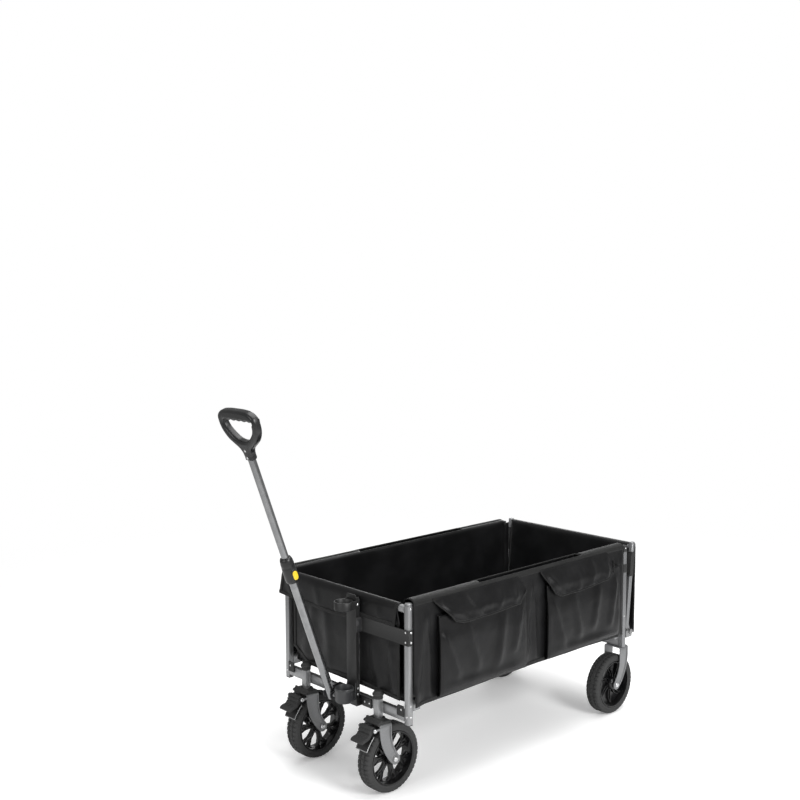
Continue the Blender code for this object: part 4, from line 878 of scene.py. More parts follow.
@dataclass
class FrontFrame:
    """The posts, tubes and sockets at the handle end."""

    rivet: float = 0.003
    rivet_heights: Spot = (0.502, 0.2544, 0.226)
    post_foot: float = 0.206
    plug_half: float = 0.0072
    cap_base: float = 0.2527
    plate_half: float = 0.0006

    def build(self) -> None:
        """Builds the whole front frame."""
        for side, way in SIDES.items():
            coat(f"front_post_{side}", Finish.SILVER, 0.0004)
            coat(f"caster_post_{side}", Finish.SILVER, 0.0004)
            coat(f"arm_bracket_{side}", Finish.SILVER, 0.0003)
            self.build_caps(side, way)
            self.build_rivets(side, way)
            self.build_socket_plates(side, way)
            self.build_clip(side, way)
        coat("front_top_tube", Finish.SILVER, 0.0005)
        coat("front_cross_tube", Finish.SILVER, 0.0003)

    def build_caps(self, side: str, way: int) -> None:
        """Stacked rings on the caster socket and an end plug under the post.

        Args:
            side: The side's name.
            way: 1 for the right side and -1 for the left one.
        """
        profile = [
            (0, 0), (0.0122, 0), (0.013, 0.0008), (0.013, 0.0046), (0.0119, 0.0058), (0.0119, 0.0072),
            (0.014, 0.0084), (0.0146, 0.0096), (0.0146, 0.0128), (0.0136, 0.0142), (0.0116, 0.0152),
            (0.0112, 0.0168), (0.0106, 0.0186), (0.0088, 0.02), (0, 0.0204),
        ]
        cap = lathe(shifted(profile, 0, self.cap_base), 40, (0, 0, 1), (way * STEM_X, STEM_Y, 0))
        publish(f"socket_cap_{side}", cap, Finish.BLACK_PLASTIC, "frame", [f"caster_post_cap_{side}"])
        x, y, half, foot = way * POST_X, -POST_Y, self.plug_half, self.post_foot
        plug = box((x - half, x + half), (y - half, y + half), (foot - 0.003, foot + 0.0004), 0.001)
        publish(f"post_plug_{side}", plug, Finish.BLACK_PLASTIC, "frame")

    def build_rivets(self, side: str, way: int) -> None:
        """Rivet heads on the outer face of the post, and the screw of the arm bracket.

        Args:
            side: The side's name.
            way: 1 for the right side and -1 for the left one.
        """
        face = way * (POST_X + POST_HALF)
        spots = [((face, -POST_Y, z), (way, 0, 0)) for z in self.rivet_heights]
        spots.append(((way * POST_X, -POST_Y - POST_HALF, self.rivet_heights[-1]), (0, -1, 0)))
        heads = [domed(self.rivet, 0.0011, spot, axis) for spot, axis in spots]
        publish(f"post_rivets_{side}", gathered(heads), Finish.BRIGHT, "frame")

    def build_socket_plates(self, side: str, way: int) -> None:
        """Thin side plates that tie the caster socket down to the cross tube.

        Args:
            side: The side's name.
            way: 1 for the right side and -1 for the left one.
        """
        outline = [(-0.461, 0.215), (-0.4545, 0.215), (-0.4545, 0.238), (-0.457, 0.243), (-0.461, 0.243)]
        pieces = []
        for out in (-1, 1):
            x = way * STEM_X + out * 0.0105
            pieces.append(plate([outline], "X", x - self.plate_half, x + self.plate_half, 0.0004))
            pieces.append(domed(0.002, 0.0009, (x + out * self.plate_half, -0.4578, 0.232), (out, 0, 0)))
        publish(f"socket_plates_{side}", gathered(pieces), Finish.SILVER, "frame")

    def build_clip(self, side: str, way: int) -> None:
        """A small black corner clip between the cross tube and the post, with its screw.

        Args:
            side: The side's name.
            way: 1 for the right side and -1 for the left one.
        """
        x0, x1 = sorted((way * 0.2095, way * 0.2338))
        low, high, front = 0.2255, 0.253, -0.4575
        cut = x0 + 0.004 if way > 0 else x0
        outline = [(x0, low), (x1, low), (x1, high), (cut, high), (x0, 0.247)]
        clip = plate([outline], "Y", front, front + 0.0031, 0.0007)
        publish(f"corner_clip_{side}", clip, Finish.BLACK_PLASTIC, "frame")
        screw = domed(0.0028, 0.001, (way * 0.2255, front, 0.2425), (0, -1, 0))
        publish(f"corner_screw_{side}", screw, Finish.BRIGHT, "frame")


@dataclass
class SideArms:
    """The folding arms inside the tub's walls, with their joint caps."""

    middle_height: float = 0.47
    front_face: float = 0.2475

    def build(self) -> None:
        """Builds the arms and the caps of their middle joint."""
        for side, way in SIDES.items():
            coat(f"front_arm_{side}", Finish.SILVER, 0.0006)
            coat(f"rear_arm_{side}", Finish.SILVER, 0.0006)
            face = (way * self.front_face, 0.0, self.middle_height)
            washer = domed(0.0068, 0.0012, face, (way, 0, 0), 28)
            publish(f"arm_joint_cap_{side}", washer, Finish.BLACK_PLASTIC, "front_arms")


# Wheels and casters


class WheelKind(Enum):
    """The two ways that a wheel's centre is made."""

    OPEN = "open"
    DISHED = "dished"


@dataclass
class Wheel:
    """A treaded tyre on a spoked plastic centre, turning about X."""

    name: str
    centre: tuple[float, float, float]
    body: str
    kind: WheelKind
    radius: float = 0.09
    half_width: float = 0.0215
    rim: float = 0.07
    lugs: int = 44
    groove: float = 0.0026
    nick: float = 0.0016
    spokes: int = 7
    hub_half: float = 0.0225
    boss: float = 0.0165
    axle_hole: float = 0.006
    facets: int = 140

    def build(self) -> None:
        """Builds the tyre and the centre."""
        publish(f"{self.name}_tread", self.tyre(), Finish.RUBBER, self.body, [f"{self.name}_tyre"], 34)
        pieces = self.open_centre() if self.kind is WheelKind.OPEN else self.dished_centre()
        pieces[1:1] = [self.rim_ring(), self.boss_turning()]
        centre = moved(gathered(pieces), *self.centre)
        publish(f"{self.name}_centre", centre, Finish.WHEEL_PLASTIC, self.body, [f"{self.name}_hub"], 35)

    def tyre(self) -> Shape:
        """The tyre: rounded sidewalls with a moulded line, two shoulder rows of lugs and a middle rib.

        Returns:
            The closed ring. Each point of its section says how deep it is, how far across and which row of
            the tread it is in: 0 for none, 1 and 2 for the shoulders and 3 for the middle rib.
        """
        rim, crown = self.rim, self.radius
        half = [
            (rim + 0.0004, -0.86, 0), (rim + 0.003, -0.985, 0), (rim + 0.0075, -1.0, 0),
            (rim + 0.0082, -0.965, 0), (rim + 0.009, -1.0, 0), (crown - 0.0075, -0.985, 0),
            (crown - 0.004, -0.93, 1), (crown - 0.0014, -0.83, 1), (crown - 0.0003, -0.7, 1),
            (crown - 0.0001, -0.46, 1), (crown - 0.0003, -0.4, 1), (crown - self.groove, -0.36, 0),
            (crown - self.groove, -0.28, 0), (crown - 0.0002, -0.24, 3),
        ]
        other = [(r, -across, 2 if row == 1 else row) for r, across, row in half[::-1]]
        profile = [*half, (crown, 0.0, 3), *other]
        shape = bmesh.new()
        rings = []
        stations = self.lugs * 5
        for i in range(stations):
            angle = math.tau * i / stations
            ring = []
            for r, across, row in profile:
                cut = row in (1, 2) and (i + (0 if row == 1 else 2)) % 5 == 0
                nicked = row == 3 and i % 5 == 3
                r -= self.groove if cut else self.nick if nicked else 0.0
                spot = (across * self.half_width, r * math.cos(angle), r * math.sin(angle))
                ring.append(shape.verts.new(spot))
            rings.append(ring)
        for i in range(stations):
            for k in range(len(profile)):
                shape.faces.new((rings[i - 1][k - 1], rings[i - 1][k], rings[i][k], rings[i][k - 1]))
        return moved(shape, *self.centre)

    def rim_ring(self) -> Shape:
        """The barrel that the tyre sits on, with a rolled lip on each side.

        Returns:
            The closed ring.
        """
        rim, half = self.rim, self.half_width - 0.0022
        side = [
            (rim, -half), (rim - 0.001, -half - 0.0012), (rim - 0.003, -half - 0.0012),
            (rim - 0.0036, -half + 0.0004), (rim - 0.0038, -half + 0.006), (rim - 0.005, -0.004),
        ]
        return lathe(mirrored(side), 96, (1, 0, 0), (0, 0, 0))

    def boss_turning(self) -> Shape:
        """The boss round the axle, stepped like a bearing seat.

        Returns:
            The closed ring.
        """
        half, boss = self.hub_half, self.boss
        side = [
            (0.0054, half), (0.0085, half), (0.0092, half - 0.0016), (boss - 0.002, half - 0.0022),
            (boss - 0.0006, half - 0.0034), (boss + 0.0012, half - 0.009), (boss + 0.004, 0.005),
        ]
        return lathe(mirrored(side), 48, (1, 0, 0), (0, 0, 0))

    def disc(self, rim_gap: float, half: float, edge: float, windows: Iterable[Loop] = ()) -> Shape:
        """The flat web between boss and rim.

        Args:
            rim_gap: How far inside the rim it ends.
            half: Half its thickness.
            edge: The radius of its edges.
            windows: The openings in it.

        Returns:
            The web.
        """
        outline = circle((0, 0), self.rim - rim_gap, self.facets)
        return plate([outline, circle((0, 0), self.axle_hole), *windows], "X", -half, half, edge)

    def spoke_windows(self) -> list[list[Point]]:
        """The openings: a leaf between two spokes and a small one in each spoke's fork.

        Returns:
            Their outlines.
        """
        leaf = [(0.0215, 0.0), (0.028, 0.0054), (0.04, 0.0106), (0.053, 0.0122), (0.0622, 0.0082)]
        fork = [(0.0505, 0.0), (0.0568, 0.0034), (0.0622, 0.0048)]
        loops = []
        for i in range(self.spokes):
            for half, tip, share in ((leaf, 0.0642, 0.0), (fork, 0.0636, 0.5)):
                turn = Matrix.Rotation(math.tau * (i + share) / self.spokes, 2)
                outline = [*half, (tip, 0.0), *((a, -b) for a, b in half[:0:-1])]
                loops.append([tuple(turn @ Vector(p)) for p in smooth_loop(outline, 5)])
        return loops

    def open_centre(self) -> list[Shape]:
        """Forked spokes with windows between them and a thin rib along every branch.

        Returns:
            The web and its ribs.
        """
        pieces = [self.disc(0.003, 0.0042, 0.0012, self.spoke_windows())]
        branches = [[(0.0375, 0.0), (0.05, way * 0.0082), (0.0645, way * 0.0118)] for way in (-1, 1)]
        for i in range(self.spokes):
            turn = Matrix.Rotation(math.tau * (i + 0.5) / self.spokes, 2)
            for line in ([(0.015, 0.0), (0.038, 0.0)], *branches):
                pieces.append(self.rib([turn @ Vector(p) for p in line], 0.0008, 0.0006, 0.0068))
        return pieces

    def rib(self, spine: Sequence[Vector], start: float, end: float, reach: float) -> Shape:
        """A thin upright rib along a line on the wheel.

        Args:
            spine: The line's points.
            start: Half its thickness at the start.
            end: Half its thickness at the end.
            reach: How far it stands out to each side.

        Returns:
            The rib.
        """
        left, right = [], []
        last = len(spine) - 1
        for k, point in enumerate(spine):
            run = (spine[min(k + 1, last)] - spine[max(k - 1, 0)]).normalized()
            side = Vector((-run.y, run.x)) * mix(start, end, k / last)
            left.append(tuple(point + side))
            right.append(tuple(point - side))
        return plate([left + right[::-1]], "X", -reach, reach, 0.0004, 1)

    def dished_centre(self) -> list[Shape]:
        """A closed dish with swept ribs standing on both faces.

        Returns:
            The web and its ribs.
        """
        pieces = [self.disc(0.006, 0.003, 0.0008)]
        count = self.spokes * 2
        for i in range(count):
            sweep = 0.7 if i % 2 else 0.2
            spine = []
            for share in spaced(0.0, 1.0, 14):
                r = mix(self.boss - 0.001, self.rim - 0.0075, share)
                angle = math.tau * i / count + sweep * share**1.4
                spine.append(Vector((r * math.cos(angle), r * math.sin(angle))))
            pieces.append(self.rib(spine, 0.0011, 0.0008, 0.01))
        return pieces


def fork_leg(crown: float, inset: float = 0.0) -> list[Point]:
    """A fork leg's outline from the side, measured from its axle.

    Args:
        crown: The height of the leg's straight top.
        inset: How far inside the edge the outline runs.

    Returns:
        The outline, its first number running towards the stem and its second one up.
    """
    rise, top_width, end_width, steps = 0.085, 0.04, 0.028, 16
    turn = 2 * math.atan2(FORK_TRAIL, rise)
    radius = rise / math.sin(turn)
    half = top_width / 2 - inset
    stem_side = [(FORK_TRAIL + half, crown - inset)]
    wheel_side = [(FORK_TRAIL - half, crown - inset)]
    for step in range(steps + 1):
        angle = turn * step / steps
        width = mix(top_width, end_width, step / steps) / 2 - inset
        d = FORK_TRAIL - radius * (1 - math.cos(angle))
        h = rise - radius * math.sin(angle)
        stem_side.append((d + width * math.cos(angle), h - width * math.sin(angle)))
        wheel_side.append((d - width * math.cos(angle), h + width * math.sin(angle)))
    end = -math.degrees(turn)
    tip = arc((0, 0), end_width / 2 - inset, end, end - 180, 16)[1:-1]
    return stem_side + tip + wheel_side[::-1]


@dataclass
class Fork:
    """A stamped steel fork round a wheel, with raised borders, a rounded crown and its axle."""

    name: str
    nodes: tuple[str, str]
    body: str
    x: float
    axle_y: float
    way: int
    top: float
    lug: Point | None = None
    inner: float = 0.0265
    steel: float = 0.003
    corner: float = 0.006
    border: float = 0.0038
    recess: float = 0.0017
    lug_radius: float = 0.0058

    def build(self) -> None:
        """Builds the fork and its axle."""
        fork, axle = self.nodes
        publish(self.name, gathered([*self.legs(), self.crown()]), Finish.FORK_GREY, self.body, [fork])
        publish(f"{self.name}_bolt", self.axle(), Finish.BRIGHT, self.body, [axle])

    def seen(self, outline: Loop) -> list[Point]:
        """An outline measured from the axle, placed on the wagon."""
        return [(self.axle_y + self.way * d, AXLE_HEIGHT + h) for d, h in outline]

    def legs(self) -> list[Shape]:
        """Two legs, each a plate with a raised border, a cross line above the axle and a pressed eye.

        Returns:
            The legs' plates.
        """
        crown = self.top - AXLE_HEIGHT - self.corner + 0.0006
        outline = self.seen(fork_leg(crown))
        field = self.seen(fork_leg(crown, self.border))
        eye = circle((self.axle_y, AXLE_HEIGHT), 0.01, 40)
        line = self.seen([(-0.005, 0.015), (0.012, 0.015), (0.012, 0.0164), (-0.005, 0.0164)])
        made = []
        for side in (-1, 1):
            skin = self.x + side * (self.inner + self.steel)
            core = self.x + side * self.inner
            for loops, low, high, edge in (
                ([outline], core, skin - side * self.recess, 0.0005),
                ([outline, field], skin - side * 0.0022, skin, 0.0004),
                ([eye], skin - side * 0.0022, skin - side * 0.0002, 0.0004),
                ([line], skin - side * 0.002, skin - side * 0.0006, 0.0002),
            ):
                made.append(plate(loops, "X", low, high, edge))
            if self.lug:
                made.append(self.ear(core, skin - side * 0.0004))
        return made

    def ear(self, core: float, skin: float) -> Shape:
        """The small ear beside a leg that carries the brake's pin.

        Args:
            core: Where its inner face is.
            skin: Where its outer face is.

        Returns:
            The ear.
        """
        y, z = self.seen([self.lug])[0]
        root = self.axle_y + self.way * (FORK_TRAIL + 0.0188)
        outline = [(root, z + 0.0026), *arc((y, z), self.lug_radius, 28, 332, 24), (root, z - 0.0026)]
        return plate([outline], "X", core, skin, 0.0005)

    def crown(self) -> Shape:
        """The top of the fork, bent round into both legs.

        Returns:
            The crown.
        """
        outside, bend, tight = self.inner + self.steel, self.top - self.corner, self.corner - self.steel
        foot = bend - 0.001
        outer = [(outside, foot), *arc((outside - self.corner, bend), self.corner, 0, 90, 8)]
        bend = arc((self.inner - tight, self.top - self.steel - tight), tight, 90, 0, 6)
        inner = [*bend, (self.inner, foot)]
        left_outer, left_inner = ([(-a, b) for a, b in reversed(line)] for line in (outer, inner))
        middle = self.axle_y + self.way * FORK_TRAIL
        loop = shifted([*outer, *left_outer, *left_inner, *inner], self.x, 0)
        return plate([loop], "Y", middle - 0.02, middle + 0.02, 0.0006)

    def axle(self) -> Shape:
        """A bolt with a domed head, a washer and a nut.

        Returns:
            The closed turning.
        """
        seat = self.inner + self.steel + 0.0003
        head = [(0, 0.0035), (0.003, 0.0034), (0.0056, 0.0026), (0.0072, 0.001), (0.0074, 0.0), (0.005, 0.0)]
        profile = mirrored([(r, -seat - high) for r, high in head])
        return lathe(profile, 32, (1, 0, 0), (self.x, self.axle_y, AXLE_HEIGHT))


@dataclass
class Caster:
    """A swivel caster at the front: fork, cover, brake pedal and wheel."""

    side: str
    top: float = 0.193
    pedal_forward: float = 0.036
    pedal_height: float = 0.183
    hood_half: float = 0.0283
    pedal_half: float = 0.022
    shoe_half: float = 0.0205

    def build(self) -> None:
        """Builds the whole caster."""
        side, x = self.side, SIDES[self.side] * STEM_X
        lug = (FORK_TRAIL + self.pedal_forward, self.pedal_height - AXLE_HEIGHT)
        nodes = (f"caster_fork_{side}", f"caster_axle_{side}")
        Fork(f"caster_leg_{side}", nodes, f"caster_{side}", x, FRONT_AXLE, -1, self.top, lug).build()
        self.build_cover(x)
        self.build_pedal(x)
        centre = (x, FRONT_AXLE, AXLE_HEIGHT)
        Wheel(f"front_wheel_{side}", centre, f"wheel_front_{side}", WheelKind.OPEN).build()

    def build_cover(self, x: float) -> None:
        """The stepped black cover over the crown, with the swivel's collar above it.

        Args:
            x: Where the caster's middle is.
        """
        base = self.top + 0.0003
        outline = [
            (0.02, 0), (0.02, 0.0026), (0.0165, 0.0058), (-0.008, 0.0064), (-0.011, 0.009), (-0.0125, 0.0107),
            (-0.016, 0.0107), (-0.0178, 0.0072), (-0.02, 0.0062),
            (-0.0245, 0.0054), (-0.026, 0.0026), (-0.026, 0),
        ]
        skirt = plate([shifted(outline, STEM_Y, base)], "X", x - self.hood_half, x + self.hood_half, 0.0009)
        ring = [(0.0116, 0.004), (0.019, 0.005), (0.0182, 0.0082), (0.015, 0.0096), (0.0122, 0.0098)]
        collar = lathe(shifted(ring, 0, base), 48, (0, 0, 1), (x, STEM_Y, 0))
        hood = gathered([skirt, collar])
        replaced = [f"caster_cover_{self.side}"]
        publish(f"caster_hood_{self.side}", hood, Finish.BLACK_PLASTIC, f"caster_{self.side}", replaced)

    def build_pedal(self, x: float) -> None:
        """The brake pedal: ribbed steps down to a flared toe, a steel shoe plate and its pin.

        Args:
            x: Where the caster's middle is.
        """
        y, z = STEM_Y - self.pedal_forward, self.pedal_height
        toe = [
            (0.005, 0.005), (0.001, 0.0082), (-0.0045, 0.0074), (-0.0085, 0.0036), (-0.008, 0.0008),
            (-0.0112, -0.001), (-0.014, -0.0052), (-0.0128, -0.008), (-0.0158, -0.01), (-0.02, -0.015),
            (-0.029, -0.0166), (-0.0365, -0.0196), (-0.0398, -0.0238), (-0.0384, -0.027), (-0.034, -0.0272),
            (-0.024, -0.024), (-0.012, -0.02), (-0.004, -0.01), (0.003, -0.004),
        ]
        outline = smooth_loop(shifted(toe, y, z), 3)
        pieces = [plate([outline], "X", x - self.pedal_half, x + self.pedal_half, 0.0016, 3)]
        rib = [(-0.013, -0.0088), (-0.0185, -0.0128), (-0.03, -0.016), (-0.029, -0.018), (-0.017, -0.015)]
        rib = shifted([*rib, (-0.012, -0.011)], y, z)
        for shift in (-0.0105, 0.0, 0.0105):
            pieces.append(plate([rib], "X", x + shift - 0.0014, x + shift + 0.0014, 0.0006))
        body = f"brake_{self.side}"
        replaced = [f"brake_pedal_{self.side}"]
        publish(f"brake_tread_{self.side}", gathered(pieces), Finish.BLACK_PLASTIC, body, replaced)
        shoe = self.shoe(0.0995, 0.1014, 132, 156, 16)
        sole = plate([shoe], "X", x - self.shoe_half, x + self.shoe_half, 0.0005)
        publish(f"brake_shoe_{self.side}", sole, Finish.BLACK_STEEL, body)
        steel = []
        for out in (-1, 1):
            steel.append(plate([shoe], "X", x + out * 0.0207, x + out * 0.0215, 0.0003))
            steel.append(domed(0.0052, 0.0022, (x + out * 0.0298, y, z), (out, 0, 0), 28))
        pin = mirrored([(0, -0.0297), (0.0021, -0.0297), (0.0024, -0.0294)])
        steel.append(lathe(pin, 20, (1, 0, 0), (x, y, z)))
        toe_edge = self.shoe(0.0993, 0.1016, 154.8, 155.8, 2)
        steel.append(plate([toe_edge], "X", x - 0.0215, x + 0.0215, 0.0003))
        publish(f"brake_fittings_{self.side}", gathered(steel), Finish.BRIGHT, body)

    def shoe(self, inner: float, outer: float, start: float, end: float, steps: int) -> list[Point]:
        """The outline of a curved plate over the tyre, between two angles in degrees."""
        axle = (FRONT_AXLE, AXLE_HEIGHT)
        return arc(axle, inner, start, end, steps) + arc(axle, outer, end, start, steps)


@dataclass
class RearFrame:
    """The rear posts, fixed forks, wheels, brackets and tailgate pivots."""

    wheel_x: float = 0.217
    axle_y: float = 0.419
    top: float = 0.2025
    post_top: float = 0.51
    pivot: Point = (0.4738, 0.2467)

    def build(self) -> None:
        """Builds the rear frame."""
        coat("rear_cross_tube", Finish.SILVER, 0.0003)
        for side, way in SIDES.items():
            coat(f"rear_bracket_{side}", Finish.SILVER, 0.0003)
            self.build_post(side, way)
            self.build_fixings(side, way)
            x = way * self.wheel_x
            nodes = (f"rear_fork_{side}", f"rear_axle_{side}")
            Fork(f"rear_leg_{side}", nodes, "rear_frame", x, self.axle_y, 1, self.top).build()
            centre = (x, self.axle_y, AXLE_HEIGHT)
            Wheel(f"rear_wheel_{side}", centre, f"wheel_rear_{side}", WheelKind.DISHED).build()

    def build_post(self, side: str, way: int) -> None:
        """A square post with its black collar and top corner.

        Args:
            side: The side's name.
            way: 1 for the right side and -1 for the left one.
        """

        def piece(grown: float, radius: float, low: float, high: float, edge: float, steps: int = 2) -> Shape:
            """A square length round the upright.

            Args:
                grown: How much wider than the upright it is.
                radius: The radius of its corners.
                low: The height of its lower end.
                high: The height of its upper end.
                edge: How far its rims are eased.
                steps: How many steps an eased rim has.

            Returns:
                The shape.
            """
            width = 2 * POST_HALF + grown
            square = shifted(rounded_rectangle(width, width, radius), way * POST_X, POST_Y)
            return plate([square], "Z", low, high, edge, steps)

        post = piece(0.0, 0.0022, self.top + 0.0003, self.post_top, 0.0004)
        publish(f"rear_upright_{side}", post, Finish.FORK_GREY, "rear_frame", [f"rear_post_{side}"])
        pieces = [
            piece(0.002, 0.003, 0.4345, 0.459, 0.0008),
            piece(0.0028, 0.0034, 0.434, 0.4372, 0.0008),
            piece(0.0028, 0.0034, 0.456, 0.4592, 0.0008),
            piece(0.0014, 0.003, 0.4965, 0.516, 0.0016, 3),
        ]
        publish(f"rear_collar_{side}", gathered(pieces), Finish.BLACK_PLASTIC, "rear_frame")

    def build_fixings(self, side: str, way: int) -> None:
        """The tailgate's knob, the corner's screw and the fork's rivets.

        Args:
            side: The side's name.
            way: 1 for the right side and -1 for the left one.
        """
        knob = [(0, 0), (0.0062, 0), (0.008, 0.0008), (0.008, 0.003), (0.007, 0.004), (0.004, 0.0044)]
        knob += [(0.0036, 0.0036), (0, 0.0036)]
        grip = lathe(knob, 36, (way, 0, 0), (way * 0.2519, *self.pivot))
        publish(f"gate_knob_{side}", grip, Finish.BLACK_PLASTIC, "rear_frame")
        face = POST_X + POST_HALF
        sideways = ((face + 0.0006, POST_Y, 0.5085), (face, POST_Y, 0.3), (0.2501, 0.404, 0.254))
        heads = [domed(0.0029, 0.001, (way * x, y, z), (way, 0, 0)) for x, y, z in sideways]
        upward = [(way * self.wheel_x + shift, 0.453, self.top) for shift in (-0.01, 0.01)]
        heads += [domed(0.0034, 0.0012, spot, (0, 0, 1)) for spot in upward]
        publish(f"rear_rivets_{side}", gathered(heads), Finish.BRIGHT, "rear_frame")


@dataclass
class Tailgate:
    """The leaning tubes of the tailgate, with their sleeves."""

    lean: float = math.radians(5.6)
    foot: Point = (0.4643, 0.2575)
    half: float = 0.007
    sleeve: Point = (0.417, 0.49)
    lip: float = 0.003

    def line(self, height: float) -> float:
        """Where the middle of a leaning tube is at a height."""
        return self.foot[0] + (height - self.foot[1]) * math.tan(self.lean)

    def build(self) -> None:
        """Builds the tubes and their sleeves."""
        coat("gate_top_tube", Finish.FORK_GREY, 0.0004)
        for side, way in SIDES.items():
            coat(f"gate_upright_{side}", Finish.FORK_GREY, 0.0003)
            self.build_sleeve(side, way)

    def build_sleeve(self, side: str, way: int) -> None:
        """A moulded sleeve round a tube, with a lip at each end.

        Args:
            side: The side's name.
            way: 1 for the right side and -1 for the left one.
        """
        low, high = self.sleeve
        middle = (low + high) / 2
        end = (high - low) / math.cos(self.lean) / 2
        wide = self.half + 0.0014
        lipped = wide + 0.0007
        pieces = []
        lips = [(lipped, -end, self.lip - end), (lipped, end - self.lip, end)]
        for half, start, stop in [(wide, -end, end), *lips]:
            pieces.append(plate([rounded_rectangle(2 * half, 2 * half, 0.0024)], "Z", start, stop, 0.0007))
        shape = gathered(pieces)
        stand = Matrix.Translation((way * POST_X, self.line(middle), middle))
        stand = stand @ Matrix.Rotation(-self.lean, 4, "X")
        bmesh.ops.transform(shape, matrix=stand, verts=shape.verts)
        publish(f"gate_sleeve_{side}", shape, Finish.BLACK_PLASTIC, "tailgate")


# The handle and the pole holder


